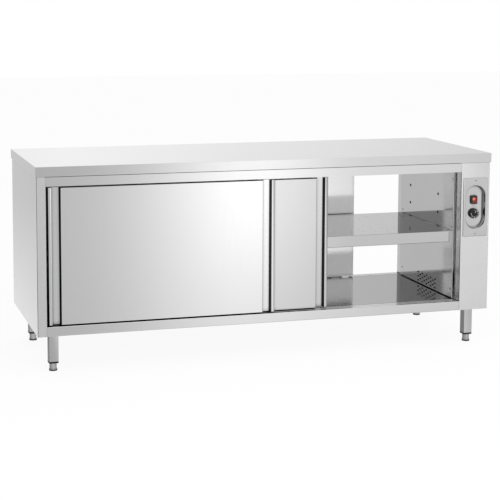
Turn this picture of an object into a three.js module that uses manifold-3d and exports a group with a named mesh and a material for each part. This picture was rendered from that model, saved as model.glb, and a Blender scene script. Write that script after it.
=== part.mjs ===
import * as THREE from "three";
import { mergeVertices } from "three/addons/utils/BufferGeometryUtils.js";
import Module from "manifold-3d";

const wasm = await Module();
wasm.setup();

// Heated cabinet, open on two sides, with four hanging sliding doors.
// Millimetres, X to the right, Y to the back, Z up.
// The origin is on the ground, under the middle of the worktop.

// Driving dimensions
const cabinet = { width: 2000, depth: 700, height: 850 };
const sheet = 1.5;
const innerBend = 1;
const fit = 0.3;
const overrun = 5;
const bendSteps = 2;
const roundSteps = 24;
const smallSteps = 12;

// Named sizes of each sub-part
const worktop = { edge: 40, overhang: 4, hem: 12 };
const stiffener = { sideMargin: 50, endMargin: 40, ribCount: 3, flat: 40 };
const frame = { clearUnder: 158, rail: 40, leftPost: 38, housing: 136, returnDepth: 54 };
const topRail = { shelfDepth: 84 };
const door = {
  overlap: 100, sheet: 1.2, thickness: 20, lip: 15.5, lipBend: 4, channel: 37.5, draft: 5,
  gapBelow: 6, gapAbove: 5, inset: 4, laneGap: 3, tabWidth: 40, tabFromEnd: 90,
  guideDepth: 14, closedGap: 7, frontOpenShare: 0.291, rearOpenShare: 0.717,
};
const roller = {
  radius: 10, width: 6, axle: 3, head: 5, headDepth: 1.2, aboveDoor: 23, tabOver: 13,
};
const track = { wall: 1.5, lipReach: 8, lipEdge: 2, running: 0.3 };
const slot = { width: 4, turnDown: 10 };
const ceiling = { behindLane: 11 };
const innerWall = { inset: 10, behindReturn: 2, flange: 3, floorGap: 4 };
const shelf = {
  height: 502, edgeGap: 5, front: 49, hem: 10, endGap: 4, notch: 7,
  holeRadius: 3.5, holeSides: 6, holePitch: 57, rowInner: 140, rowOuter: 195, holeMargin: 40,
};
const support = {
  frontY: -131, rearY: 175, hole: 4, stud: 3.5, studDrop: 20, width: 24, reach: 22, drop: 32,
};
const adjustment = { first: 62, pitch: 82, count: 2 };
const grille = {
  centreY: -22, top: 252, slotLong: 20, slotHigh: 6.5, pitchY: 23, pitchZ: 9.8, columns: 9, rows: 5,
};
const leg = {
  size: 40, wall: 1.5, corner: 3, bottom: 39.5, leftInset: 57, rightInset: 47, frontInset: 60,
};
const cap = { flange: 6.5, plug: 18 };
const foot = {
  padRadius: 16.8, padHigh: 8, chamfer: 2.5, stemRadius: 15.2, rodRadius: 5, rodLong: 48, sides: 16,
};
const panel = {
  width: 115, high: 257, underTop: 196.5, offsetX: 1, wall: 2, corner: 4,
  basinWidth: 95, basinHigh: 193, basinDepth: 20, taper: 4.5, basinWall: 1.5, cutGap: 1,
};
const switchPart = {
  abovePanel: 30.5, bezelWidth: 26, bezelHigh: 36, bezelDeep: 11, bodyWidth: 22, bodyHigh: 30,
  bodyDeep: 24, pocketDeep: 12, rim: 2.5,
};
const rocker = { gap: 0.6, crest: 4.5, valley: 2.5, tail: 4, pivotDeep: 1, tilt: 8 };
const knob = {
  belowPanel: 29.5, radius: 22, draft: 1.5, deep: 14, grip: 8, gripReach: 11.5, gripHigh: 5,
  shaft: 3, shaftIn: 12, stand: 1,
};
const thermostat = { size: 38, deep: 26 };
const blower = {
  length: 220, axisFromWall: 40, floorGap: 5, radius: 38, wall: 1.2,
  wheelRadius: 27, disc: 2, wheelGap: 6, shaft: 4, blades: 14, bladeDeep: 8, bladeWall: 1.2, bladeLean: 25,
  motorRadius: 26, motorLong: 40, shaftIn: 12, shaftOut: 3,
};
const heater = { radius: 4, fromWall: 6, spread: 18, out: 15, endGap: 12, bendSteps: 10, sides: 8 };
const terminal = {
  fromSide: 18, depth: 22, high: 20, slots: 4, slotWide: 5, slotHigh: 8, pitch: 11, fromRear: 90,
};
const gland = {
  fromSide: 36, fromRear: 46, radius: 8, flange: 12, flangeHigh: 6, nut: 11, nutHigh: 6, bore: 5,
};

// Levels and planes worked out from the sizes
const bodyTop = cabinet.height - worktop.edge;
const bodyX = cabinet.width / 2 - worktop.overhang;
const bodyY = cabinet.depth / 2 - worktop.overhang;
const openLeft = -bodyX + frame.leftPost;
const openRight = bodyX - frame.housing;
const spanLeft = openLeft + fit;
const spanRight = openRight - fit;
const sillTop = frame.clearUnder + frame.rail;
const railUnder = bodyTop - frame.rail;
const trayTop = frame.clearUnder + sheet;
const doorWidth = (openRight - openLeft + door.overlap) / 2;
const doorTravel = openRight - openLeft - 2 * door.closedGap - doorWidth;
const doorBottom = sillTop + door.gapBelow;
const doorTop = railUnder - door.gapAbove;
const outerLane = -bodyY + door.inset;
const innerLane = outerLane + door.thickness + door.laneGap;
const laneBacks = [outerLane + door.thickness, innerLane + door.thickness];
const wallLeft = openLeft + innerWall.inset;
const wallRight = openRight - innerWall.inset;
const wallBottom = sillTop + innerWall.floorGap;
const wallY = bodyY - frame.returnDepth - innerWall.behindReturn;
const wallTop = railUnder - fit;
const housingX = bodyX - frame.housing / 2 + panel.offsetX;
const panelZ = bodyTop - panel.underTop;
const switchZ = panelZ + switchPart.abovePanel;
const knobZ = panelZ - knob.belowPanel;
const panelFront = -bodyY - fit - panel.wall;
const basinFloor = panelFront + panel.basinDepth;

// Finishes
const finishes = {
  satin: { color: 0xd3d4d5, roughness: 0.32, metalness: 1 },
  inner: { color: 0xc6c8ca, roughness: 0.24, metalness: 1 },
  zinc: { color: 0xb4b8bb, roughness: 0.5, metalness: 1 },
  alloy: { color: 0xc9cbce, roughness: 0.4, metalness: 1 },
  black: { color: 0x17181a, roughness: 0.5, metalness: 0 },
  nylon: { color: 0xe6e4dc, roughness: 0.55, metalness: 0 },
  lamp: { color: 0xe8431c, roughness: 0.25, metalness: 0 },
  heatproof: { color: 0x6d6a66, roughness: 0.6, metalness: 1 },
};

const cabinetGroup = new THREE.Group();

function addMesh(name, geometry, finish, parent = cabinetGroup) {
  const mesh = new THREE.Mesh(geometry, new THREE.MeshStandardMaterial(finishes[finish]));
  mesh.name = name;
  parent.add(mesh);
  return mesh;
}

function toSolid(geometry) {
  const bare = geometry.clone();
  bare.deleteAttribute("normal");
  bare.deleteAttribute("uv");
  const merged = mergeVertices(bare);
  return new wasm.Manifold(new wasm.Mesh({
    numProp: 3,
    vertProperties: new Float32Array(merged.attributes.position.array),
    triVerts: new Uint32Array(merged.index.array),
  }));
}

function fromSolid(solid) {
  const { vertProperties, triVerts } = solid.getMesh();
  const geometry = new THREE.BufferGeometry();
  geometry.setAttribute("position", new THREE.BufferAttribute(new Float32Array(vertProperties), 3));
  geometry.setIndex(new THREE.BufferAttribute(new Uint32Array(triVerts), 1));
  return geometry;
}

function join(...geometries) {
  return fromSolid(geometries.map(toSolid).reduce((whole, next) => whole.add(next)));
}

function cut(geometry, ...tools) {
  return fromSolid(tools.map(toSolid).reduce((whole, tool) => whole.subtract(tool), toSolid(geometry)));
}

// Extrusions of a flat shape along each axis, between two places on that axis
function extrude(shape, depth) {
  return new THREE.ExtrudeGeometry(shape, { depth, steps: 1, bevelEnabled: false });
}

function alongZ(shape, low, high) {
  return extrude(shape, high - low).translate(0, 0, low);
}

function alongX(shape, low, high) {
  const turn = new THREE.Matrix4().makeBasis(
    new THREE.Vector3(0, 1, 0), new THREE.Vector3(0, 0, 1), new THREE.Vector3(1, 0, 0));
  return extrude(shape, high - low).applyMatrix4(turn).translate(low, 0, 0);
}

function alongY(shape, low, high) {
  const turn = new THREE.Matrix4().makeBasis(
    new THREE.Vector3(1, 0, 0), new THREE.Vector3(0, 0, 1), new THREE.Vector3(0, -1, 0));
  return extrude(shape, high - low).applyMatrix4(turn).translate(0, high, 0);
}

function rectangle(u0, v0, u1, v1) {
  return new THREE.Shape([[u0, v0], [u1, v0], [u1, v1], [u0, v1]].map((p) => new THREE.Vector2(...p)));
}

function roundedRectangle(u, v, width, high, radius) {
  const points = [];
  const corners = [[1, -1], [1, 1], [-1, 1], [-1, -1]];
  corners.forEach(([right, up], corner) => {
    const centre = new THREE.Vector2(u + right * (width / 2 - radius), v + up * (high / 2 - radius));
    for (let k = 0; k <= bendSteps; k += 1) {
      const angle = (corner - 1 + k / bendSteps) * Math.PI / 2;
      points.push(new THREE.Vector2(radius * Math.cos(angle), radius * Math.sin(angle)).add(centre));
    }
  });
  return new THREE.Shape(points);
}

function circle(u, v, radius, steps = smallSteps) {
  return new THREE.Shape(Array.from({ length: steps }, (_, i) => {
    const angle = 2 * Math.PI * i / steps;
    return new THREE.Vector2(u + radius * Math.cos(angle), v + radius * Math.sin(angle));
  }));
}

function mirrorU(shape) {
  return new THREE.Shape(shape.getPoints().map((p) => new THREE.Vector2(-p.x, p.y)));
}

// Section of a folded sheet. The line is one face of the sheet, whose wall lies to the left
// of the line as it is followed, and each corner becomes a bend. A third value on a point
// is the inner radius of its bend.
function foldedSheet(line, wall = sheet) {
  const near = [];
  const far = [];
  line.forEach((point, i) => {
    const here = new THREE.Vector2(point[0], point[1]);
    const before = line[i - 1];
    const after = line[i + 1];
    const inward = before ? here.clone().sub(new THREE.Vector2(before[0], before[1])).normalize() : null;
    const outward = after ? new THREE.Vector2(after[0], after[1]).sub(here).normalize() : null;
    const along = inward ?? outward;
    const left = new THREE.Vector2(-along.y, along.x);
    if (!inward || !outward) {
      near.push(here);
      far.push(here.clone().addScaledVector(left, wall));
      return;
    }
    const turn = Math.atan2(inward.cross(outward), inward.dot(outward));
    const side = Math.sign(turn);
    const radius = point[2] ?? innerBend;
    const nearRadius = side > 0 ? radius + wall : radius;
    const farRadius = side > 0 ? radius : radius + wall;
    const back = nearRadius * Math.tan(Math.abs(turn) / 2);
    const centre = here.clone().addScaledVector(inward, -back).addScaledVector(left, side * nearRadius);
    const start = left.clone().multiplyScalar(-side);
    for (let k = 0; k <= bendSteps; k += 1) {
      const spoke = start.clone().rotateAround(new THREE.Vector2(), turn * k / bendSteps);
      near.push(centre.clone().addScaledVector(spoke, nearRadius));
      far.push(centre.clone().addScaledVector(spoke, farRadius));
    }
  });
  return new THREE.Shape([...near, ...far.reverse()]);
}

// Closed solid between two like convex loops, the first one in front of the second
function loft(front, back) {
  const count = front.length;
  const points = [...front, ...back].flatMap((p) => [p.x, p.y, p.z]);
  const faces = [];
  for (let i = 0; i < count; i += 1) {
    const next = (i + 1) % count;
    faces.push(i, count + i, next, next, count + i, count + next);
  }
  for (let i = 1; i < count - 1; i += 1) {
    faces.push(0, i, i + 1, count, count + i + 1, count + i);
  }
  const geometry = new THREE.BufferGeometry();
  geometry.setAttribute("position", new THREE.BufferAttribute(new Float32Array(points), 3));
  geometry.setIndex(faces);
  return geometry;
}

// Upright oval with round ends, at depth y
function ovalLoop(x, z, width, high, y) {
  const radius = width / 2;
  const rise = high / 2 - radius;
  const points = [];
  const steps = roundSteps / 2;
  for (const end of [1, -1]) {
    const centreZ = z + end * rise;
    for (let k = 0; k <= steps; k += 1) {
      const angle = (end > 0 ? 0 : Math.PI) + Math.PI * k / steps;
      points.push(new THREE.Vector3(x + radius * Math.cos(angle), y, centreZ + radius * Math.sin(angle)));
    }
  }
  return points;
}

// Turned piece about an axis along Y, from pairs of radius and distance along the axis
function turnedAlongY(profile, x, z, steps = smallSteps) {
  const points = profile.map((p) => new THREE.Vector2(...p));
  return new THREE.LatheGeometry(points, steps).translate(x, 0, z);
}

function turnedAlongZ(profile, x, y, steps = smallSteps) {
  const points = profile.map((p) => new THREE.Vector2(...p));
  return new THREE.LatheGeometry(points, steps).rotateX(Math.PI / 2).translate(x, y, 0);
}

// Worktop: a shallow tray turned upside down, with its hem folded in under the edge
function makeWorktop() {
  const inside = (inset) => {
    const x = cabinet.width / 2 - inset;
    const y = cabinet.depth / 2 - inset;
    return rectangle(-x, -y, x, y);
  };
  const top = alongZ(inside(0), bodyTop, cabinet.height);
  const hollow = alongZ(inside(sheet), bodyTop + sheet, cabinet.height - sheet);
  const mouth = alongZ(inside(worktop.hem), bodyTop - overrun, bodyTop + sheet + innerBend);
  addMesh("worktop", cut(top, hollow, mouth), "satin");
}

// Ribbed sheet that holds the worktop flat
function makeStiffener() {
  const low = bodyTop;
  const high = cabinet.height - sheet - fit;
  const half = cabinet.depth / 2 - stiffener.sideMargin;
  const pitch = (2 * half - stiffener.flat) / stiffener.ribCount;
  const line = [[-half, low]];
  for (let i = 0; i < stiffener.ribCount; i += 1) {
    const start = -half + stiffener.flat + i * pitch;
    line.push([start, low], [start, high - sheet], [start + pitch - stiffener.flat, high - sheet],
      [start + pitch - stiffener.flat, low]);
  }
  line.push([half, low]);
  const reach = cabinet.width / 2 - stiffener.endMargin;
  addMesh("worktop_stiffener", alongX(foldedSheet(line), -reach, reach), "zinc");
}

// End of the carcass: one sheet folded round both corners, with a return into each opening
function endPanelShape(outerX, openX) {
  const innerY = bodyY - frame.returnDepth;
  const half = [[openX, -innerY], [openX, -bodyY], [outerX, -bodyY]];
  const line = [...half, ...half.map(([x, y]) => [x, -y]).reverse()];
  return foldedSheet(outerX > openX ? line : line.reverse());
}

function makeEndPanels() {
  const low = frame.clearUnder;
  const high = bodyTop - fit;
  addMesh("left_side_panel", alongZ(endPanelShape(-bodyX, openLeft), low, high), "satin");
  const basinGap = 2 * (panel.basinWall + panel.cutGap);
  const [windowWidth, windowHigh] = [panel.basinWidth + basinGap, panel.basinHigh + basinGap];
  const window = loft(
    ovalLoop(housingX, panelZ, windowWidth, windowHigh, -bodyY - overrun),
    ovalLoop(housingX, panelZ, windowWidth, windowHigh, -bodyY + sheet + overrun));
  addMesh("control_housing", cut(alongZ(endPanelShape(bodyX, openRight), low, high), window), "satin");
}

// Base tray: the bottom sheet with the two bottom rails folded up from it
function makeBaseTray() {
  const edge = outerLane + door.thickness - door.sheet / 2 - slot.width / 2;
  const half = [
    [edge, sillTop - slot.turnDown], [edge, sillTop], [-bodyY, sillTop], [-bodyY, frame.clearUnder],
  ];
  const line = [...half, ...half.map(([y, z]) => [-y, z]).reverse()];
  const rails = alongX(foldedSheet(line), spanLeft, spanRight);
  const plateX = bodyX - sheet - innerBend;
  const plateY = bodyY - sheet - innerBend;
  const plate = alongZ(rectangle(-plateX, -plateY, plateX, plateY), frame.clearUnder, trayTop);
  const hole = alongZ(circle(bodyX - gland.fromSide, bodyY - gland.fromRear, gland.radius + fit),
    frame.clearUnder - overrun, trayTop + overrun);
  const notches = [];
  for (const side of [-1, 1]) {
    const ends = [side * (bodyY + overrun), side * (bodyY - frame.returnDepth - fit)];
    const [y0, y1] = [Math.min(...ends), Math.max(...ends)];
    for (const [x0, x1] of [[openLeft - sheet - fit, spanLeft], [spanRight, openRight + sheet + fit]]) {
      notches.push(alongZ(rectangle(x0, y0, x1, y1), frame.clearUnder - overrun, trayTop + overrun));
    }
  }
  addMesh("base_tray", join(cut(plate, hole, ...notches), rails), "satin");
}

// Channel between the two guide slots of one side
function sillShape() {
  const [outerBack, innerBack] = laneBacks.map((y) => y - door.sheet / 2);
  const front = outerBack + slot.width / 2;
  const rear = innerBack - slot.width / 2;
  return foldedSheet([[rear, trayTop + fit], [rear, sillTop], [front, sillTop], [front, trayTop + fit]]);
}

function makeFloor() {
  addMesh("front_door_sill", alongX(sillShape(), spanLeft, spanRight), "satin");
  addMesh("rear_door_sill", alongX(mirrorU(sillShape()), spanLeft, spanRight), "satin");
  const edge = -(laneBacks[1] - door.sheet / 2 + slot.width / 2);
  const line = [[edge, trayTop + fit], [edge, sillTop], [-edge, sillTop], [-edge, trayTop + fit]];
  addMesh("cabinet_floor", alongX(foldedSheet(line), spanLeft, spanRight), "inner");
}

// Top rail with its shelf that carries the roller track, and the ceiling between the lanes
function topRailShape() {
  const top = bodyTop - fit;
  return foldedSheet([[-bodyY + topRail.shelfDepth, top], [-bodyY, top], [-bodyY, railUnder]]);
}

function makeTop() {
  addMesh("front_top_rail", alongX(topRailShape(), spanLeft, spanRight), "satin");
  addMesh("rear_top_rail", alongX(mirrorU(topRailShape()), spanLeft, spanRight), "satin");
  const edge = -laneBacks[1] - ceiling.behindLane;
  const high = bodyTop - 2 * fit - sheet;
  const line = [[-edge, high], [-edge, railUnder], [edge, railUnder], [edge, high]];
  addMesh("cabinet_ceiling", alongX(foldedSheet(line), spanLeft, spanRight), "inner");
}

// Two-lane track of one side: each lane is a wall with a lip that the rollers run on
function trackShape() {
  const top = bodyTop - 2 * fit - sheet;
  const lipTop = doorTop + roller.aboveDoor - roller.radius - track.running;
  const webs = laneBacks.map((back) => back - door.sheet - fit - roller.width - fit - track.wall);
  const shape = new THREE.Shape();
  const end = webs[1] + track.lipReach + track.wall;
  shape.moveTo(webs[0], top);
  for (const [lane, web] of webs.entries()) {
    const inner = web + track.wall;
    const lipEnd = inner + track.lipReach - track.lipEdge;
    if (lane > 0) shape.lineTo(web, top - track.wall);
    shape.lineTo(web, lipTop - track.wall);
    shape.lineTo(lipEnd, lipTop - track.wall);
    shape.lineTo(lipEnd, lipTop);
    shape.lineTo(inner, lipTop);
    shape.lineTo(inner, top - track.wall);
  }
  shape.lineTo(end, top - track.wall);
  shape.lineTo(end, top);
  return shape;
}

function makeTracks() {
  addMesh("front_roller_track", alongX(trackShape(), spanLeft, spanRight), "alloy");
  addMesh("rear_roller_track", alongX(mirrorU(trackShape()), spanLeft, spanRight), "alloy");
}

// Inner end walls, folded outwards at both edges, with holes for the shelf supports
function supportHole(x, y, z) {
  return alongX(circle(y, z, support.hole), x - overrun, x + overrun);
}

function studLevel() {
  return shelf.height - sheet - fit - support.studDrop;
}

function wallHoles(x) {
  const holes = [];
  for (const y of [support.frontY, support.rearY]) {
    holes.push(supportHole(x, y, studLevel()));
    for (let i = 0; i < adjustment.count; i += 1) {
      holes.push(supportHole(x, y, shelf.height + adjustment.first + i * adjustment.pitch));
    }
  }
  return holes;
}

function grilleSlots() {
  const slots = [];
  for (let column = 0; column < grille.columns; column += 1) {
    for (let row = column % 2; row < grille.rows; row += 2) {
      const y = grille.centreY + (column - (grille.columns - 1) / 2) * grille.pitchY;
      const z = grille.top - row * grille.pitchZ;
      const shape = roundedRectangle(y, z, grille.slotLong, grille.slotHigh, grille.slotHigh / 2);
      slots.push(toSolid(alongX(shape, wallRight - overrun, wallRight + sheet + overrun)));
    }
  }
  return slots;
}

function innerWallShape(x, outward) {
  const edge = x + outward * innerWall.flange;
  const line = [[edge, -wallY], [x, -wallY], [x, wallY], [edge, wallY]];
  return foldedSheet(outward > 0 ? line.reverse() : line);
}

function makeInnerWalls() {
  const left = alongZ(innerWallShape(wallLeft, -1), wallBottom, wallTop);
  addMesh("left_inner_wall", cut(left, ...wallHoles(wallLeft)), "inner");
  const right = cut(alongZ(innerWallShape(wallRight, 1), wallBottom, wallTop), ...wallHoles(wallRight));
  const grilled = grilleSlots().reduce((wall, tool) => wall.subtract(tool), toSolid(right));
  addMesh("right_inner_wall", fromSolid(grilled), "inner");
}

// Middle shelf: a sheet folded down along both long edges, where the folds stop short of the
// ends, with four rows of small holes
function makeShelf() {
  const low = shelf.height - shelf.front;
  const half = wallY - shelf.edgeGap;
  const line = [
    [half - shelf.hem, low], [half, low], [half, shelf.height],
    [-half, shelf.height], [-half, low], [-half + shelf.hem, low],
  ];
  const left = wallLeft + shelf.endGap;
  const right = wallRight - shelf.endGap;
  const underFold = rectangle(-half - overrun, low - overrun, half + overrun,
    shelf.height - sheet - innerBend);
  const body = toSolid(cut(alongX(foldedSheet(line), left, right),
    alongX(underFold, left - overrun, left + shelf.notch),
    alongX(underFold, right - shelf.notch, right + overrun)));
  const columns = Math.floor((right - left - 2 * shelf.holeMargin) / shelf.holePitch);
  const first = (left + right - columns * shelf.holePitch) / 2;
  let holes = null;
  for (let i = 0; i <= columns; i += 1) {
    for (const y of [-shelf.rowOuter, -shelf.rowInner, shelf.rowInner, shelf.rowOuter]) {
      const outline = circle(first + i * shelf.holePitch, y, shelf.holeRadius, shelf.holeSides);
      const hole = toSolid(alongZ(outline, shelf.height - sheet - overrun, shelf.height + overrun));
      holes = holes ? holes.add(hole) : hole;
    }
  }
  addMesh("middle_shelf", fromSolid(body.subtract(holes)), "inner");
}

// Angle that hooks into a wall hole and carries one corner of the shelf
function makeSupport(name, x, inward, y) {
  const face = x + inward * fit;
  const seat = shelf.height - sheet - fit;
  const line = [[face, seat - support.drop], [face, seat], [face + inward * support.reach, seat]];
  const angle = alongY(foldedSheet(inward > 0 ? line.reverse() : line),
    y - support.width / 2, y + support.width / 2);
  const studEnds = [face + inward * sheet / 2, x - inward * sheet];
  const stud = alongX(circle(y, studLevel(), support.stud), Math.min(...studEnds), Math.max(...studEnds));
  addMesh(name, join(angle, stud), "zinc");
}

// Square leg, its plastic cap and its screwed foot
function makeLeg(place, x, y) {
  const tube = roundedRectangle(x, y, leg.size, leg.size, leg.corner);
  const bore = leg.size - 2 * leg.wall;
  tube.holes.push(roundedRectangle(x, y, bore, bore, leg.corner - leg.wall));
  addMesh(`${place}_leg`, alongZ(tube, leg.bottom, frame.clearUnder - fit), "satin");
  const capLow = leg.bottom - fit - cap.flange;
  const capTop = leg.bottom + cap.plug;
  const plugSize = bore - 2 * fit;
  const flange = alongZ(roundedRectangle(x, y, leg.size, leg.size, leg.corner),
    capLow, capLow + cap.flange);
  const plug = alongZ(roundedRectangle(x, y, plugSize, plugSize, leg.corner - leg.wall),
    capLow + cap.flange / 2, capTop);
  const rodHole = alongZ(circle(x, y, foot.rodRadius + fit), capLow - overrun, capTop + overrun);
  addMesh(`${place}_leg_cap`, cut(join(flange, plug), rodHole), "black");
  const stemTop = capLow - fit;
  const profile = [
    [0, 0], [foot.padRadius - foot.chamfer, 0], [foot.padRadius, foot.chamfer],
    [foot.padRadius, foot.padHigh], [foot.stemRadius, foot.padHigh], [foot.stemRadius, stemTop],
    [foot.rodRadius, stemTop], [foot.rodRadius, stemTop + foot.rodLong], [0, stemTop + foot.rodLong],
  ];
  addMesh(`${place}_levelling_foot`, turnedAlongZ(profile, x, y, foot.sides), "satin");
}

function makeLegs() {
  const half = leg.size / 2;
  const y = cabinet.depth / 2 - leg.frontInset - half;
  const left = -cabinet.width / 2 + leg.leftInset + half;
  const right = cabinet.width / 2 - leg.rightInset - half;
  makeLeg("front_left", left, -y);
  makeLeg("front_right", right, -y);
  makeLeg("rear_left", left, y);
  makeLeg("rear_right", right, y);
}

// Door face: one sheet folded into a rounded lip and a grip channel at each end
function doorFace() {
  const deep = door.thickness - door.sheet - fit;
  const panelStart = door.lip + door.channel;
  const floor = deep - door.sheet;
  const half = [
    [0, deep], [0, 0, door.lipBend], [door.lip, 0], [door.lip + door.draft, floor],
    [panelStart - door.draft, floor], [panelStart, 0],
  ];
  const mirrored = half.map(([x, y, radius]) => [doorWidth - x, y, radius]).reverse();
  const skin = alongZ(foldedSheet([...half, ...mirrored], door.sheet), doorBottom, doorTop);
  const closure = rectangle(panelStart + door.sheet / 2, door.sheet / 2,
    doorWidth - panelStart - door.sheet / 2, deep);
  const low = alongZ(closure, doorBottom, doorBottom + door.sheet);
  const high = alongZ(closure, doorTop - door.sheet, doorTop);
  return join(skin, low, high);
}

// Door back: a flat sheet with two hanger tabs above and two guide tabs below
function doorBack() {
  const tabTop = doorTop + roller.aboveDoor + roller.tabOver;
  const tabs = [door.tabFromEnd, doorWidth - door.tabFromEnd];
  const half = door.tabWidth / 2;
  const shape = new THREE.Shape();
  shape.moveTo(0, doorBottom);
  for (const x of tabs) {
    shape.lineTo(x - half, doorBottom);
    shape.lineTo(x - half, doorBottom - door.guideDepth);
    shape.lineTo(x + half, doorBottom - door.guideDepth);
    shape.lineTo(x + half, doorBottom);
  }
  shape.lineTo(doorWidth, doorBottom);
  shape.lineTo(doorWidth, doorTop);
  for (const x of [...tabs].reverse()) {
    shape.lineTo(x + half, doorTop);
    shape.lineTo(x + half, tabTop);
    shape.lineTo(x - half, tabTop);
    shape.lineTo(x - half, doorTop);
    shape.holes.push(circle(x, doorTop + roller.aboveDoor, roller.axle + fit));
  }
  shape.lineTo(0, doorTop);
  return alongY(shape, door.thickness - door.sheet, door.thickness);
}

// Roller with its riveted axle through the hanger tab
function rollerGeometry(x) {
  const back = door.thickness + fit;
  const tread = door.thickness - door.sheet - fit;
  const profile = [
    [0, tread - roller.width], [roller.radius, tread - roller.width], [roller.radius, tread],
    [roller.axle, tread], [roller.axle, back], [roller.head, back],
    [roller.head, back + roller.headDepth], [0, back + roller.headDepth],
  ];
  return turnedAlongY(profile, x, doorTop + roller.aboveDoor);
}

function makeDoor(name, left, lane, rear) {
  const group = new THREE.Group();
  addMesh(`${name}_face`, doorFace(), "satin", group);
  addMesh(`${name}_back`, doorBack(), "inner", group);
  const [first, second] = rear ? ["b", "a"] : ["a", "b"];
  addMesh(`${name}_roller_${first}`, rollerGeometry(door.tabFromEnd), "nylon", group);
  addMesh(`${name}_roller_${second}`, rollerGeometry(doorWidth - door.tabFromEnd), "nylon", group);
  group.position.set(rear ? left + doorWidth : left, rear ? -lane : lane, 0);
  group.rotation.z = rear ? Math.PI : 0;
  cabinetGroup.add(group);
}

// The doors stand slid to the left, with the right end open from front to back
function makeDoors() {
  const leftmost = openLeft + door.closedGap;
  makeDoor("front_left_door", leftmost, outerLane, false);
  makeDoor("front_right_door", leftmost + door.frontOpenShare * doorTravel, innerLane, false);
  makeDoor("rear_left_door", leftmost, outerLane, true);
  makeDoor("rear_right_door", leftmost + door.rearOpenShare * doorTravel, innerLane, true);
}

// Control panel with its deep oval basin
function makeControlPanel() {
  const plate = alongY(roundedRectangle(housingX, panelZ, panel.width, panel.high, panel.corner),
    panelFront, panelFront + panel.wall);
  const wall = panel.basinWall;
  const back = basinFloor + wall;
  const ring = (grow, y) => ovalLoop(housingX, panelZ,
    panel.basinWidth + 2 * grow, panel.basinHigh + 2 * grow, y);
  const outside = loft(ring(wall, panelFront + panel.wall / 2), ring(wall - panel.taper, back));
  const flare = overrun * panel.taper / panel.basinDepth;
  const inside = loft(ring(flare, panelFront - overrun), ring(-panel.taper, basinFloor));
  const switchCut = roundedRectangle(housingX, switchZ,
    switchPart.bodyWidth + 2 * fit, switchPart.bodyHigh + 2 * fit, fit);
  const switchHole = alongY(switchCut, basinFloor - overrun, back + overrun);
  const shaftHole = alongY(circle(housingX, knobZ, knob.shaft + fit), basinFloor - overrun, back + overrun);
  addMesh("control_basin", cut(join(plate, outside), inside, switchHole, shaftHole), "satin");
}

function makeSwitch() {
  const front = basinFloor - fit - switchPart.bezelDeep;
  const upright = (width, high) => roundedRectangle(housingX, switchZ, width, high, 2 * rocker.gap);
  const bezel = alongY(upright(switchPart.bezelWidth, switchPart.bezelHigh), front, basinFloor - fit);
  const body = alongY(upright(switchPart.bodyWidth, switchPart.bodyHigh),
    basinFloor - fit - switchPart.bezelDeep / 2, basinFloor + switchPart.bodyDeep);
  const pocketX = (switchPart.bodyWidth - switchPart.rim) / 2;
  const pocketZ = (switchPart.bodyHigh - switchPart.rim) / 2;
  const pocketCut = rectangle(housingX - pocketX, switchZ - pocketZ, housingX + pocketX, switchZ + pocketZ);
  const pocket = alongY(pocketCut, front - overrun, front + switchPart.pocketDeep);
  addMesh("switch_body", cut(join(bezel, body), pocket), "black");
  const halfZ = pocketZ - 2 * rocker.gap;
  const section = new THREE.Shape([
    [-rocker.crest, halfZ], [-rocker.valley, 0], [-rocker.crest, -halfZ],
    [rocker.tail - rocker.crest, -halfZ], [rocker.tail, 0], [rocker.tail - rocker.crest, halfZ],
  ].map((p) => new THREE.Vector2(...p)));
  const halfX = pocketX - rocker.gap;
  const lamp = addMesh("switch_rocker", alongX(section, -halfX, halfX), "lamp");
  lamp.position.set(housingX, front + rocker.pivotDeep, switchZ);
  lamp.rotation.x = THREE.MathUtils.degToRad(rocker.tilt);
}

function makeThermostat() {
  const back = basinFloor + panel.basinWall + fit;
  const half = thermostat.size / 2;
  const box = alongY(rectangle(housingX - half, knobZ - half, housingX + half, knobZ + half),
    back, back + thermostat.deep);
  const bore = alongY(circle(housingX, knobZ, knob.shaft + fit), back - overrun, back + knob.shaftIn + fit);
  addMesh("thermostat_body", cut(box, bore), "black");
  const dialBack = basinFloor - knob.stand;
  const face = dialBack - knob.deep;
  const rim = knob.radius - knob.draft;
  const dial = turnedAlongY([
    [0, face], [rim - knob.stand, face], [rim, face + knob.stand], [knob.radius, dialBack],
    [knob.shaft, dialBack], [knob.shaft, back + knob.shaftIn], [0, back + knob.shaftIn],
  ], housingX, knobZ, roundSteps);
  const gripLoop = (shrink, y) => ovalLoop(housingX, knobZ,
    knob.grip - shrink, 2 * knob.gripReach - shrink, y);
  const grip = loft(gripLoop(knob.stand, face - knob.gripHigh), gripLoop(0, face + knob.stand));
  addMesh("thermostat_knob", join(dial, grip), "black");
}

// Cross-flow blower behind the grille, with its motor and the heating rod in its mouth
const blowerX = wallRight + sheet + blower.axisFromWall;
const blowerZ = sillTop + blower.floorGap + blower.radius;
const blowerLow = grille.centreY - blower.length / 2;
const blowerHigh = grille.centreY + blower.length / 2;
const rodX = wallRight + sheet + heater.fromWall;

function blowerOutline(mouthX, radius) {
  const shape = new THREE.Shape();
  shape.moveTo(mouthX, blowerZ - radius);
  for (let k = 0; k <= smallSteps; k += 1) {
    const angle = Math.PI * (k / smallSteps - 1 / 2);
    shape.lineTo(blowerX + radius * Math.cos(angle), blowerZ + radius * Math.sin(angle));
  }
  shape.lineTo(mouthX, blowerZ + radius);
  return shape;
}

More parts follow.
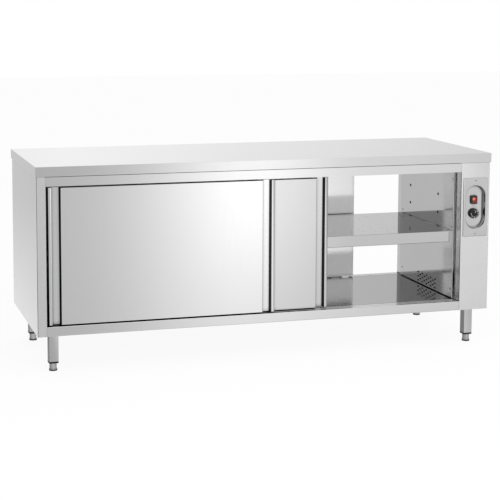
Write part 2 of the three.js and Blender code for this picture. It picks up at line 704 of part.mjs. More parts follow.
function makeBlower() {
  const mouth = wallRight + sheet + fit;
  const shell = alongY(blowerOutline(mouth, blower.radius), blowerLow, blowerHigh);
  const hollow = alongY(blowerOutline(mouth - overrun, blower.radius - blower.wall),
    blowerLow + blower.wall, blowerHigh - blower.wall);
  const bore = circle(blowerX, blowerZ, blower.shaft + fit);
  const shaftHole = alongY(bore, blowerLow - overrun, blowerHigh + overrun);
  const rodHoles = [-1, 1].map((side) => {
    const outline = circle(rodX, blowerZ + side * heater.spread, heater.radius + fit);
    return alongY(outline, blowerLow - overrun, blowerLow + overrun);
  });
  addMesh("blower_housing", cut(shell, hollow, shaftHole, ...rodHoles), "zinc");

  const low = blowerLow + blower.wall + blower.wheelGap;
  const high = blowerHigh - blower.wall - blower.wheelGap;
  const shaft = alongY(circle(blowerX, blowerZ, blower.shaft),
    blowerLow - blower.shaftOut, blowerHigh + blower.shaftIn);
  const discs = [low, high - blower.disc].map(
    (y) => alongY(circle(blowerX, blowerZ, blower.wheelRadius, roundSteps), y, y + blower.disc));
  const bladeRadius = blower.wheelRadius - blower.bladeDeep / 2 - blower.bladeWall;
  const blades = [];
  for (let i = 0; i < blower.blades; i += 1) {
    const blade = new THREE.BoxGeometry(blower.bladeDeep, high - low - blower.disc, blower.bladeWall);
    blade.rotateY(THREE.MathUtils.degToRad(blower.bladeLean)).translate(bladeRadius, (low + high) / 2, 0);
    blade.rotateY(2 * Math.PI * i / blower.blades).translate(blowerX, 0, blowerZ);
    blades.push(blade);
  }
  addMesh("blower_wheel", join(shaft, ...discs, ...blades), "alloy");

  const motorLow = blowerHigh + fit;
  const motor = turnedAlongY([
    [0, motorLow], [blower.motorRadius, motorLow], [blower.motorRadius, motorLow + blower.motorLong],
    [0, motorLow + blower.motorLong],
  ], blowerX, blowerZ, roundSteps);
  const shaftEnd = blowerHigh + blower.shaftIn + fit;
  addMesh("blower_motor", cut(motor, alongY(bore, motorLow - overrun, shaftEnd)), "zinc");
}

function makeHeater() {
  const start = blowerLow - heater.out;
  const bendY = blowerHigh - blower.wall - heater.endGap - heater.spread;
  const points = [new THREE.Vector3(rodX, start, blowerZ - heater.spread)];
  for (let i = 0; i <= heater.bendSteps; i += 1) {
    const angle = Math.PI * (i / heater.bendSteps - 1 / 2);
    const [outward, upward] = [heater.spread * Math.cos(angle), heater.spread * Math.sin(angle)];
    points.push(new THREE.Vector3(rodX, bendY + outward, blowerZ + upward));
  }
  points.push(new THREE.Vector3(rodX, start, blowerZ + heater.spread));
  const section = circle(0, 0, heater.radius, heater.sides).getPoints();
  addMesh("heater_element", sweep(section, points), "heatproof");
}

// Tube swept along points that lie in one plane across X, with mitred joints
function sweep(section, points) {
  const across = new THREE.Vector3(1, 0, 0);
  const rings = points.map((point, i) => {
    const before = i > 0 ? point.clone().sub(points[i - 1]).normalize() : null;
    const after = i < points.length - 1 ? points[i + 1].clone().sub(point).normalize() : null;
    const along = (before ?? after).clone().add(after ?? before).normalize();
    const stretch = before && after ? 1 / along.dot(before) : 1;
    const side = along.clone().cross(across).multiplyScalar(stretch);
    return section.map((p) => point.clone().addScaledVector(across, p.x).addScaledVector(side, p.y));
  });
  const count = section.length;
  const faces = [];
  for (let r = 0; r < rings.length - 1; r += 1) {
    for (let i = 0; i < count; i += 1) {
      const next = (i + 1) % count;
      const [a, b] = [r * count + i, r * count + next];
      faces.push(a, b, a + count, b, b + count, a + count);
    }
  }
  const last = (rings.length - 1) * count;
  for (let i = 1; i < count - 1; i += 1) {
    faces.push(0, i + 1, i, last, last + i, last + i + 1);
  }
  const geometry = new THREE.BufferGeometry();
  geometry.setAttribute("position",
    new THREE.BufferAttribute(new Float32Array(rings.flat().flatMap((p) => [p.x, p.y, p.z])), 3));
  geometry.setIndex(faces);
  return geometry;
}

// Terminal block and cable gland in the control housing
function makeTerminals() {
  const base = trayTop + fit;
  const rear = bodyY - terminal.fromRear;
  const wall = terminal.pitch - terminal.slotWide;
  const right = bodyX - sheet - terminal.fromSide;
  const left = right - terminal.slots * terminal.pitch - wall;
  const shape = new THREE.Shape();
  shape.moveTo(left, base);
  shape.lineTo(right, base);
  shape.lineTo(right, base + terminal.high);
  for (let i = 0; i < terminal.slots; i += 1) {
    const edge = right - wall - i * terminal.pitch;
    shape.lineTo(edge, base + terminal.high);
    shape.lineTo(edge, base + terminal.high - terminal.slotHigh);
    shape.lineTo(edge - terminal.slotWide, base + terminal.high - terminal.slotHigh);
    shape.lineTo(edge - terminal.slotWide, base + terminal.high);
  }
  shape.lineTo(left, base + terminal.high);
  addMesh("terminal_block", alongY(shape, rear - terminal.depth, rear), "nylon");
  const under = frame.clearUnder - fit;
  const over = trayTop + fit;
  const profile = [
    [gland.bore, under - gland.flangeHigh], [gland.flange, under - gland.flangeHigh],
    [gland.flange, under],
    [gland.radius, under], [gland.radius, over], [gland.nut, over], [gland.nut, over + gland.nutHigh],
    [gland.bore, over + gland.nutHigh], [gland.bore, under - gland.flangeHigh],
  ];
  addMesh("cable_gland", turnedAlongZ(profile, bodyX - gland.fromSide, bodyY - gland.fromRear), "black");
}

makeWorktop();
makeStiffener();
makeEndPanels();
makeBaseTray();
makeFloor();
makeTop();
makeTracks();
makeInnerWalls();
makeShelf();
makeSupport("shelf_support_front_left", wallLeft, 1, support.frontY);
makeSupport("shelf_support_rear_left", wallLeft, 1, support.rearY);
makeSupport("shelf_support_front_right", wallRight, -1, support.frontY);
makeSupport("shelf_support_rear_right", wallRight, -1, support.rearY);
makeLegs();
makeDoors();
makeControlPanel();
makeSwitch();
makeThermostat();
makeBlower();
makeHeater();
makeTerminals();

export default cabinetGroup;
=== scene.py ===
"""Looks for the heated cabinet: finishes, small fittings, studio, camera."""

import logging
import math
from dataclasses import dataclass, field
from enum import Enum

import bpy
from mathutils import Matrix, Vector

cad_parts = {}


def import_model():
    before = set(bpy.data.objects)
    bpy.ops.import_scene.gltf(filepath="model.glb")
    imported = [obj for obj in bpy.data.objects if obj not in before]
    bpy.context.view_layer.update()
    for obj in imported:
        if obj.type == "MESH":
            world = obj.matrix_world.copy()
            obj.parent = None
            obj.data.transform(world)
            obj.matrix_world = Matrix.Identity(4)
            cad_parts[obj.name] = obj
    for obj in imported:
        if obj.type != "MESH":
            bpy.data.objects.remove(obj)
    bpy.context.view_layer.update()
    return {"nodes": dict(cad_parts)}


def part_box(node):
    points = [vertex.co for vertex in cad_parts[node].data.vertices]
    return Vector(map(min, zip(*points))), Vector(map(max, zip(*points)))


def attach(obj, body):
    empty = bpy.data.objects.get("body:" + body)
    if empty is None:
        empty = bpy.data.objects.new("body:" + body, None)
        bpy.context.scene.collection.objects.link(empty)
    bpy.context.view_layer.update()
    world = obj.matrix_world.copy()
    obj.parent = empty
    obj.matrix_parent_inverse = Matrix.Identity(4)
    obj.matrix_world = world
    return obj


log = logging.getLogger("heated_cabinet")

Colour = tuple[float, float, float]
Opaque = tuple[float, float, float, float]
Point = tuple[float, float, float]
Span = tuple[float, float]
Profile = list[tuple[float, float]]
Levels = tuple[tuple[float, float], ...]
Tree = bpy.types.NodeTree
Socket = bpy.types.NodeSocket
Material = bpy.types.Material

# Metres in a millimetre.
MM = 0.001
# Points nearer to each other than this, in millimetres, are one point.
SAME_POINT = 0.01
# Strength with which large flats set the normals of the bends beside them, in per cent.
FLAT_WEIGHT = 100
# Where a mix node for colours has its share, its two colours and its result.
MIX_SHARE, MIX_LOW, MIX_HIGH, MIX_RESULT = 0, 6, 7, 2

TO_LEFT = Vector((-1.0, 0.0, 0.0))
TO_RIGHT = Vector((1.0, 0.0, 0.0))
TO_FRONT = Vector((0.0, -1.0, 0.0))


class Grain(Enum):
    """Direction in which a sheet was brushed, as how finely its pattern is drawn along X, Y and Z."""

    ALONG_X = (1.5, 160.0, 160.0)
    ALONG_Y = (160.0, 1.5, 160.0)
    ALONG_Z = (160.0, 160.0, 1.5)


class Side(Enum):
    """Long side of the cabinet, as the direction in which it faces along Y."""

    FRONT = -1.0
    REAR = 1.0

    def face(self, piece: str) -> float:
        """Returns the place along Y of a piece's outermost face on this side, in metres."""
        low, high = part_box(piece)
        return low.y if self is Side.FRONT else high.y


class End(Enum):
    """End of the cabinet, as the direction in which it lies along X."""

    LEFT = -1.0
    RIGHT = 1.0


def opaque(colour: Colour) -> Opaque:
    """Returns a colour with full opacity, as node sockets want it."""
    return (*colour, 1.0)


def grey(level: float) -> Opaque:
    """Returns the neutral colour of one level."""
    return (level, level, level, 1.0)


def feed(tree: Tree, socket: Socket, value: object) -> None:
    """Gives a node's socket a link or a fixed value.

    Args:
        tree: The node tree.
        socket: The input socket.
        value: The output socket that feeds it, or a value.
    """
    if isinstance(value, bpy.types.NodeSocket):
        tree.links.new(value, socket)
    else:
        socket.default_value = value


def add_node(tree: Tree, kind: str, **values: object) -> bpy.types.Node:
    """Adds a node and sets its sockets by name.

    Args:
        tree: Node tree that gets the node.
        kind: Blender's name of the node type.
        **values: Socket names, with underscores for spaces, and their values or links.

    Returns:
        The new node.
    """
    node = tree.nodes.new(kind)
    for name, value in values.items():
        feed(tree, node.inputs[name.replace("_", " ")], value)
    return node


def calculate(tree: Tree, operation: str, one: object, other: object, clamp: bool = False) -> Socket:
    """Works out a number from two others.

    Args:
        tree: Node tree that gets the node.
        operation: Blender's name of the operation.
        one: First number, a socket or a value.
        other: Second number, a socket or a value.
        clamp: Whether the result is held between 0 and 1.

    Returns:
        The socket with the result.
    """
    node = tree.nodes.new("ShaderNodeMath")
    node.operation = operation
    node.use_clamp = clamp
    for socket, value in zip(node.inputs, (one, other)):
        feed(tree, socket, value)
    return node.outputs["Value"]


def scale_range(tree: Tree, source: Socket, low: float, high: float) -> Socket:
    """Returns a socket that maps 0 to 1 on the source to low to high."""
    node = add_node(tree, "ShaderNodeMapRange", Value=source, To_Min=low, To_Max=high)
    return node.outputs["Result"]


def add_relief(tree: Tree, height: Socket, strength: float, deep: float) -> Socket:
    """Adds the relief of a pattern.

    Args:
        tree: Node tree that gets the node.
        height: Socket with the pattern's level.
        strength: Strength of the relief, from 0 to 1.
        deep: Depth of the relief at full strength, in millimetres.

    Returns:
        The socket with the direction of the surface.
    """
    node = add_node(tree, "ShaderNodeBump", Strength=strength, Distance=deep * MM, Height=height)
    return node.outputs["Normal"]


def mix_colours(tree: Tree, share: Socket, low: object, high: object) -> Socket:
    """Mixes two colours.

    Args:
        tree: Node tree that gets the node.
        share: Socket with the share of the second colour, from 0 to 1.
        low: First colour, a socket or a value.
        high: Second colour, a socket or a value.

    Returns:
        The socket with the mixed colour.
    """
    node = tree.nodes.new("ShaderNodeMix")
    node.data_type = "RGBA"
    for number, value in ((MIX_SHARE, share), (MIX_LOW, low), (MIX_HIGH, high)):
        feed(tree, node.inputs[number], value)
    return node.outputs[MIX_RESULT]


def mix_shaders(tree: Tree, share: Socket, low: Socket, high: Socket) -> Socket:
    """Mixes two shaders.

    Args:
        tree: Node tree that gets the node.
        share: Socket with the share of the second shader, from 0 to 1.
        low: First shader.
        high: Second shader.

    Returns:
        The socket with the mixed shader.
    """
    node = tree.nodes.new("ShaderNodeMixShader")
    for socket, value in zip(node.inputs, (share, low, high)):
        feed(tree, socket, value)
    return node.outputs["Shader"]


def darken(tree: Tree, colour: object, share: Socket) -> Socket:
    """Scales a colour down.

    Args:
        tree: Node tree that gets the node.
        colour: The colour, a socket or a value.
        share: Socket with the share of the colour that stays.

    Returns:
        The socket with the darker colour.
    """
    node = tree.nodes.new("ShaderNodeVectorMath")
    node.operation = "SCALE"
    feed(tree, node.inputs["Vector"], colour)
    feed(tree, node.inputs["Scale"], share)
    return node.outputs["Vector"]


def add_ramp(tree: Tree, share: Socket, stops: list[tuple[float, Opaque]]) -> Socket:
    """Adds a ramp of colours.

    Args:
        tree: Node tree that gets the node.
        share: Socket with the place on the ramp, from 0 to 1.
        stops: Pairs of place and colour.

    Returns:
        The socket with the colour at that place.
    """
    node = add_node(tree, "ShaderNodeValToRGB", Fac=share)
    elements = node.color_ramp.elements
    elements.remove(elements[-1])
    for number, (place, colour) in enumerate(sorted(stops)):
        element = elements[0] if number == 0 else elements.new(place)
        element.position = place
        element.color = colour
    return node.outputs["Color"]


def bare_tree(owner: bpy.types.ID) -> Tree:
    """Empties the node tree of a material or a world.

    Args:
        owner: The material or world.

    Returns:
        Its node tree, without nodes.
    """
    owner.use_nodes = True
    owner.node_tree.nodes.clear()
    return owner.node_tree


def lead_out(tree: Tree, kind: str, surface: Socket) -> None:
    """Leads a shader to a new output node of the kind given."""
    tree.links.new(surface, tree.nodes.new(kind).inputs["Surface"])


def new_material(name: str) -> tuple[Material, Tree, bpy.types.Node]:
    """Makes a material with one Principled shader.

    Args:
        name: Name of the material.

    Returns:
        The material, its node tree and its Principled node.
    """
    material = bpy.data.materials.new(name)
    tree = bare_tree(material)
    shader = tree.nodes.new("ShaderNodeBsdfPrincipled")
    lead_out(tree, "ShaderNodeOutputMaterial", shader.outputs["BSDF"])
    return material, tree, shader


@dataclass(frozen=True)
class Clouds:
    """Cloudy pattern in a finish.

    Attributes:
        scale: About how many clouds there are in a metre, before any stretch.
        detail: How many times finer clouds are laid into them.
        roughness: Strength of each finer step against the one before it.
    """

    scale: float
    detail: float
    roughness: float = 0.5

    def build(self, tree: Tree, place: Socket) -> Socket:
        """Adds the pattern to a node tree.

        Args:
            tree: Node tree that gets the node.
            place: Socket with the place on the piece.

        Returns:
            The socket with the pattern's level.
        """
        values = {"Scale": self.scale, "Detail": self.detail, "Roughness": self.roughness}
        node = add_node(tree, "ShaderNodeTexNoise", Vector=place, **values)
        return node.outputs["Fac"]


@dataclass(frozen=True)
class SteelFinish:
    """Stainless sheet with a brushed grain, faint smudges, and painted shade in corners and gaps and on
    faces that turn to the left.

    Attributes:
        name: Name of the material.
        tint: Colour of the metal.
        roughness: Mean roughness.
        grain: Direction of the brushing.
        spread: How far the grain takes the roughness to either side.
        bump: Strength of the grain's relief.
        relief: Depth of the grain at full strength, in millimetres.
        streaks: Pattern that the brushing stretches to streaks.
        smudges: Pattern of the smudges.
        smudge: Share by which smudges darken the metal.
        edge: Grey that the metal takes at a grazing look.
        shine: Share of the surface that mirrors; the rest is matt.
        crevice: Reach of the painted shade in corners and gaps, in millimetres.
        shut: Share of open looks below which a place gets the full painted shade.
        clear: Share of open looks above which a face keeps its whole tone.
        darkest: Share of its tone that the metal keeps under the full painted shade.
        looks_round: Number of looks by which that share is found.
        bend: Share of its tone that the metal keeps on upright rounded folds that turn to the left, as
            painted shade.
        flank: Share of its tone that it keeps on sides that face left: painted shade below 1, painted light
            above 1.
        bend_from: Turn to the left at which a rounded fold begins to take the painted shade, as the sine of
            its angle.
        bend_over: Turns between which a rounded fold has its full painted shade.
    """

    name: str
    tint: Colour
    roughness: float
    grain: Grain
    spread: float = 0.04
    bump: float = 0.02
    relief: float = 0.5
    streaks: Clouds = Clouds(6.0, 5.0, 0.65)
    smudges: Clouds = Clouds(3.5, 3.0)
    smudge: float = 0.03
    edge: float = 1.0
    shine: float = 1.0
    crevice: float = 14.0
    shut: float = 0.25
    clear: float = 0.85
    darkest: float = 0.04
    looks_round: int = 16
    bend: float = 1.0
    flank: float = 1.0
    bend_from: float = 0.2
    bend_over: Span = (0.45, 0.97)

    def gap_shade(self, tree: Tree) -> Socket:
        """Finds how open a place is, to paint shade into corners and narrow gaps between sheets.

        Args:
            tree: Node tree that gets the nodes.

        Returns:
            The socket with the share of its tone that the metal keeps there.
        """
        look = add_node(tree, "ShaderNodeAmbientOcclusion", Distance=self.crevice * MM)
        look.samples = self.looks_round
        limits = {"From_Min": self.shut, "From_Max": self.clear, "To_Min": self.darkest}
        share = add_node(tree, "ShaderNodeMapRange", Value=look.outputs["AO"], **limits)
        return share.outputs["Result"]

    def turn_left(self, tree: Tree) -> Socket:
        """Finds how far a face turns to the left, to paint shade on upright folds and sides that face left;
        a share above 1 paints light there instead.

        Args:
            tree: Node tree that gets the nodes.

        Returns:
            The socket with the share of its tone that the metal keeps there.
        """
        normal = tree.nodes.new("ShaderNodeNewGeometry").outputs["Normal"]
        across = add_node(tree, "ShaderNodeSeparateXYZ", Vector=normal).outputs["X"]
        leftward = calculate(tree, "MULTIPLY", across, End.LEFT.value)
        stops = [(self.bend_from, grey(1.0)), (1.0, grey(self.flank))]
        stops += [(turn, grey(self.bend)) for turn in self.bend_over]
        return add_ramp(tree, leftward, stops)

    def build(self) -> Material:
        """Makes the finish.

        Returns:
            Its node material.
        """
        material, tree, shader = new_material(self.name)
        place = tree.nodes.new("ShaderNodeTexCoord").outputs["Object"]
        stretched = add_node(tree, "ShaderNodeMapping", Vector=place, Scale=self.grain.value)
        streaks = self.streaks.build(tree, stretched.outputs["Vector"])
        smudged = tuple(c * (1.0 - self.smudge) for c in self.tint)
        tint = mix_colours(tree, self.smudges.build(tree, place), opaque(smudged), opaque(self.tint))
        # Painted shade: the colour and the grazing grey are darkened in corners and gaps and on faces that
        # turn to the left.
        painted_shade = calculate(tree, "MULTIPLY", self.gap_shade(tree), self.turn_left(tree))
        feed(tree, shader.inputs["Base Color"], darken(tree, tint, painted_shade))
        feed(tree, shader.inputs["Specular Tint"], darken(tree, (self.edge,) * 3, painted_shade))
        gloss = scale_range(tree, streaks, self.roughness - self.spread, self.roughness + self.spread)
        feed(tree, shader.inputs["Roughness"], gloss)
        feed(tree, shader.inputs["Normal"], add_relief(tree, streaks, self.bump, self.relief))
        feed(tree, shader.inputs["Metallic"], self.shine)
        return material


@dataclass(frozen=True)
class ZincFinish:
    """Galvanised sheet with its pale crystal pattern.

    Attributes:
        name: Name of the material.
        tint: Colour of the palest crystals.
        roughness: Mean roughness.
        spread: How far the crystals take the roughness to either side.
        crystals: Number of crystals in a metre.
        darkest: Share of the tint that the darkest crystals have.
        shine: Share of the surface that mirrors; the rest is matt.
    """

    name: str
    tint: Colour
    roughness: float
    spread: float = 0.08
    crystals: float = 90.0
    darkest: float = 0.85
    shine: float = 0.9

    def build(self) -> Material:
        """Makes the finish.

        Returns:
            Its node material.
        """
        material, tree, shader = new_material(self.name)
        place = tree.nodes.new("ShaderNodeTexCoord").outputs["Object"]
        crystals = add_node(tree, "ShaderNodeTexVoronoi", Vector=place, Scale=self.crystals)
        dark = tuple(c * self.darkest for c in self.tint)
        tint = mix_colours(tree, crystals.outputs["Color"], opaque(dark), opaque(self.tint))
        feed(tree, shader.inputs["Base Color"], tint)
        distance = crystals.outputs["Distance"]
        gloss = scale_range(tree, distance, self.roughness - self.spread, self.roughness + self.spread)
        feed(tree, shader.inputs["Roughness"], gloss)
        feed(tree, shader.inputs["Metallic"], self.shine)
        return material


@dataclass(frozen=True)
class PlasticFinish:
    """Moulded plastic with a fine matt skin.

    Attributes:
        name: Name of the material.
        tint: Colour of the plastic where it is palest.
        roughness: Mean roughness.
        spread: How far the skin takes the roughness to either side.
        skin: Strength of the skin's relief.
        relief: Depth of the skin at full strength, in millimetres.
        shine: Strength of its gloss.
        grains: Pattern of the skin.
        blotches: Pattern of the darker places.
        darkest: Share of the tint that the darkest places have.
    """

    name: str
    tint: Colour
    roughness: float
    spread: float = 0.06
    skin: float = 0.15
    relief: float = 0.1
    shine: float = 0.5
    grains: Clouds = Clouds(1800.0, 2.0)
    blotches: Clouds = Clouds(60.0, 2.0)
    darkest: float = 0.85

    def build(self) -> Material:
        """Makes the finish.

        Returns:
            Its node material.
        """
        material, tree, shader = new_material(self.name)
        place = tree.nodes.new("ShaderNodeTexCoord").outputs["Object"]
        grains = self.grains.build(tree, place)
        dark = tuple(c * self.darkest for c in self.tint)
        tint = mix_colours(tree, self.blotches.build(tree, place), opaque(dark), opaque(self.tint))
        feed(tree, shader.inputs["Base Color"], tint)
        gloss = scale_range(tree, grains, self.roughness - self.spread, self.roughness + self.spread)
        feed(tree, shader.inputs["Roughness"], gloss)
        feed(tree, shader.inputs["Normal"], add_relief(tree, grains, self.skin, self.relief))
        feed(tree, shader.inputs["Specular IOR Level"], self.shine)
        return material


@dataclass(frozen=True)
class LampFinish:
    """Red translucent plastic, lit by a small lamp behind its middle.

    Attributes:
        name: Name of the material.
        tint: Colour of the plastic.
        roughness: Roughness of its skin.
        centre: Middle of the lamp, in millimetres.
        reach: Distance over which the light fades, in millimetres.
        glow: Strength of the light.
        tones: Pairs of the share of that distance and the colour of the light there.
    """

    name: str
    tint: Colour
    roughness: float
    centre: Point = (923.0, -343.0, 649.0)
    reach: float = 12.0
    glow: float = 1.0
    tones: tuple[tuple[float, Colour], ...] = (
        (0.0, (1.0, 0.46, 0.24)),
        (0.38, (0.62, 0.14, 0.09)),
        (0.72, (0.20, 0.03, 0.02)),
        (1.0, (0.03, 0.006, 0.005)),
    )

    def build(self) -> Material:
        """Makes the finish.

        Returns:
            Its node material.
        """
        material, tree, shader = new_material(self.name)
        apart = tree.nodes.new("ShaderNodeVectorMath")
        apart.operation = "DISTANCE"
        place = tree.nodes.new("ShaderNodeTexCoord").outputs["Object"]
        for socket, value in zip(apart.inputs, (place, tuple(c * MM for c in self.centre))):
            feed(tree, socket, value)
        fade = add_node(tree, "ShaderNodeMapRange", Value=apart.outputs["Value"], From_Max=self.reach * MM)
        stops = [(share, opaque(tone)) for share, tone in self.tones]
        light = add_ramp(tree, fade.outputs["Result"], stops)
        feed(tree, shader.inputs["Base Color"], opaque(self.tint))
        feed(tree, shader.inputs["Roughness"], self.roughness)
        feed(tree, shader.inputs["Emission Color"], light)
        feed(tree, shader.inputs["Emission Strength"], self.glow)
        return material


@dataclass
class Finishes:
    """The cabinet's finishes, made once and shared by its pieces.

    Attributes:
        pale: Tint of the rails and the sills.
        post: Tint of the side panel and the housing.
        top: Tint of the worktop.
        bright: Tint of the faces of the outer lanes' doors.
        dull: Tint of the other doors' faces, the legs, the control panel and the inner walls. On the inner
            lanes' doors, which stand back behind the outer ones, its darker tone is painted shade.
        inside: Tint of the doors' backs.
        level: Tint of the shelf, the ceiling, the cabinet's floor and the feet.
        top_steel: Material of the worktop; the attributes after it are the other materials.
    """

    pale: Colour = (0.80, 0.80, 0.80)
    post: Colour = (0.775, 0.775, 0.775)
    top: Colour = (0.75, 0.75, 0.75)
    bright: Colour = (0.86, 0.86, 0.86)
    dull: Colour = (0.69, 0.69, 0.69)
    inside: Colour = (0.94, 0.94, 0.94)
    level: Colour = (0.66, 0.66, 0.66)
    top_steel: Material = field(init=False)
    long_steel: Material = field(init=False)
    leg_steel: Material = field(init=False)
    tall_steel: Material = field(init=False)
    outer_door: Material = field(init=False)
    inner_door: Material = field(init=False)
    panel_steel: Material = field(init=False)
    bright_shelf: Material = field(init=False)
    bright_wall: Material = field(init=False)
    bright_floor: Material = field(init=False)
    bright_door: Material = field(init=False)
    turned_steel: Material = field(init=False)
    alloy: Material = field(init=False)
    zinc: Material = field(init=False)
    heat_dark: Material = field(init=False)
    black: Material = field(init=False)
    matt_black: Material = field(init=False)
    dark_screw: Material = field(init=False)
    nylon: Material = field(init=False)
    lamp: Material = field(init=False)
    mark: Material = field(init=False)

    def __post_init__(self) -> None:
        """Builds every material."""
        self.build_satin()
        self.build_bright()
        self.build_small()
        self.build_plastics()

    def build_satin(self) -> None:
        """Builds the brushed finishes of the outside."""
        long = {"roughness": 0.14, "grain": Grain.ALONG_X}
        tall = {"roughness": 0.14, "grain": Grain.ALONG_Z}
        # Painted shade: crevice darkens corners and gaps; bend and flank darken folds and sides that face
        # left, and the worktop's flank above 1 paints light on its left side.
        sides = {**tall, "shine": 0.88, "crevice": 12.0, "bend": 0.1}
        door = {**tall, "crevice": 22.0, "bend": 0.08, "flank": 0.08}
        panel = {**tall, "crevice": 18.0, "bend": 0.5, "flank": 0.5}
        leg = {"roughness": 0.16, "grain": Grain.ALONG_Z, "bend": 0.5, "flank": 0.5}
        self.top_steel = SteelFinish("worktop_steel", self.top, edge=0.93, flank=1.09, **long).build()
        self.long_steel = SteelFinish("satin_steel_long", self.pale, edge=0.89, **long).build()
        self.tall_steel = SteelFinish("satin_steel_tall", self.post, **sides).build()
        self.leg_steel = SteelFinish("leg_steel", self.dull, **leg).build()
        self.outer_door = SteelFinish("outer_door_steel", self.bright, **door).build()
        # Painted shade: the inner lanes' doors take the darker tint because they stand back behind the
        # outer lanes.
        self.inner_door = SteelFinish("inner_door_steel", self.dull, **door).build()
        self.panel_steel = SteelFinish("panel_steel", self.dull, **panel).build()

    def build_bright(self) -> None:
        """Builds the nearly polished finishes of the inside."""
        fine = {"roughness": 0.08, "spread": 0.02, "bump": 0.008}
        along = {**fine, "grain": Grain.ALONG_X}
        # Painted shade: crevice sets how far the shade reaches into corners and gaps.
        across = {**fine, "grain": Grain.ALONG_Y, "shine": 0.9, "crevice": 12.0}
        self.bright_shelf = SteelFinish("bright_shelf", self.level, edge=0.79, **along).build()
        self.bright_floor = SteelFinish("bright_floor", self.level, edge=0.64, crevice=6.0, **along).build()
        self.bright_wall = SteelFinish("bright_wall", self.dull, **across).build()
        self.bright_door = SteelFinish("bright_door", self.inside, shine=0.8, crevice=28.0, **along).build()

    def build_small(self) -> None:
        """Builds the finishes of the small metal pieces."""
        screw: Colour = (0.45, 0.45, 0.45)
        track: Colour = (0.78, 0.78, 0.78)
        sooty: Colour = (0.10, 0.09, 0.08)
        # Painted shade: bend and flank darken the feet's rounded edges and the sides that face left.
        foot = {"roughness": 0.25, "grain": Grain.ALONG_Z, "spread": 0.05, "bend": 0.7, "flank": 0.3}
        self.dark_screw = SteelFinish("screw_steel", screw, roughness=0.3, grain=Grain.ALONG_Z).build()
        self.turned_steel = SteelFinish("turned_steel", self.level, **foot).build()
        self.alloy = SteelFinish("track_alloy", track, roughness=0.38, grain=Grain.ALONG_X).build()
        self.heat_dark = SteelFinish("heat_darkened", sooty, roughness=0.5, grain=Grain.ALONG_Y).build()
        self.zinc = ZincFinish("galvanised", (0.62, 0.64, 0.66), roughness=0.45).build()

    def build_plastics(self) -> None:
        """Builds the plastics and the print."""
        coal: Colour = (0.022, 0.022, 0.024)
        soot: Colour = (0.016, 0.016, 0.017)
        self.black = PlasticFinish("black_plastic", coal, roughness=0.42).build()
        self.matt_black = PlasticFinish("matt_black_plastic", soot, roughness=0.6, shine=0.25).build()
        self.nylon = PlasticFinish("nylon", (0.80, 0.79, 0.74), roughness=0.5).build()
        self.lamp = LampFinish("lamp_red", (0.10, 0.01, 0.008), roughness=0.3).build()
        self.mark = PlasticFinish("white_mark", (0.85, 0.85, 0.85), roughness=0.5).build()


def mesh_object(name: str, vertices: list[Vector], faces: list[tuple[int, ...]]) -> bpy.types.Object:
    """Makes a mesh object in the scene.

    Args:
        name: Name of the piece.
        vertices: Its points, in metres.
        faces: Its faces, as tuples of point numbers.

    Returns:
        The new object.
    """
    mesh = bpy.data.meshes.new(name)
    mesh.from_pydata([tuple(v) for v in vertices], [], faces)
    mesh.validate()
    obj = bpy.data.objects.new(name, mesh)
    bpy.context.scene.collection.objects.link(obj)
    return obj


def turned(name: str, profile: Profile, axis: Matrix, sides: int = 48) -> bpy.types.Object:
    """Turns a profile about an axis.

    Args:
        name: Name of the piece.
        profile: Pairs of radius and height, in millimetres, in order along the profile.
        axis: Matrix that takes the turned piece, which stands along Z, to its place.
        sides: Number of steps round the axis.

    Returns:
        The new object.
    """
    vertices: list[Vector] = []
    rings: list[list[int]] = []
    for radius, height in profile:
        ring: list[int] = []
        count = 1 if radius == 0 else sides
        for i in range(count):
            angle = math.tau * i / sides
            ring.append(len(vertices))
            spoke = Vector((radius * math.cos(angle), radius * math.sin(angle), height))
            vertices.append(axis @ (spoke * MM))
        rings.append(ring)
    faces: list[tuple[int, ...]] = []
    for low, high in zip(rings, rings[1:]):
        for i in range(sides):
            j = (i + 1) % sides
            corners = [low[i % len(low)], low[j % len(low)], high[j % len(high)], high[i % len(high)]]
            face = tuple(dict.fromkeys(corners))
            if len(face) > 2:
                faces.append(face)
    return mesh_object(name, vertices, faces)


def block(name: str, one: Vector, other: Vector) -> bpy.types.Object:
    """Makes a box.

    Args:
        name: Name of the piece.
        one: One of its corners, in metres.
        other: The opposite corner, in metres.

    Returns:
        The new object.
    """
    spans = [sorted((a, b)) for a, b in zip(one, other)]
    corners = [Vector((x, y, z)) for z in spans[2] for y in spans[1] for x in spans[0]]
    faces = [(0, 2, 3, 1), (4, 5, 7, 6), (0, 1, 5, 4), (2, 6, 7, 3), (0, 4, 6, 2), (1, 3, 7, 5)]
    return mesh_object(name, corners, faces)


def domed(radius: float, high: float, steps: int = 6) -> Profile:
    """Draws the profile of a low dome that stands on a face.

    Args:
        radius: Radius of the foot, in millimetres.
        high: Height of the crown, in millimetres.
        steps: Number of steps from foot to crown.

    Returns:
        The profile, from the middle of the foot to the crown.
    """
    slopes = [math.pi / 2 * i / steps for i in range(steps)]
    arc = [(radius * math.cos(slope), high * math.sin(slope)) for slope in slopes]
    return [(0.0, 0.0), *arc, (0.0, high)]


def facing(place: Vector, outward: Vector) -> Matrix:
    """Finds how a piece stands on a face.

    Args:
        place: Point of the face, in millimetres.
        outward: Direction in which the piece stands out of the face.

    Returns:
        The matrix that takes the piece, which stands along Z, to its place.
    """
    turn = outward.to_track_quat("Z", "Y").to_matrix().to_4x4()
    return Matrix.Translation(place * MM) @ turn


def smooth(obj: bpy.types.Object, sharp: float = 50.0) -> None:
    """Smooths the bends of a piece and keeps its flats flat.

    Args:
        obj: The piece.
        sharp: Edges sharper than this, in degrees, stay sharp.
    """
    for polygon in obj.data.polygons:
        polygon.use_smooth = True
    weld = obj.modifiers.new("weld", "WELD")
    weld.merge_threshold = SAME_POINT * MM
    split = obj.modifiers.new("split", "EDGE_SPLIT")
    split.split_angle = math.radians(sharp)
    flats = obj.modifiers.new("flats", "WEIGHTED_NORMAL")
    flats.weight = FLAT_WEIGHT


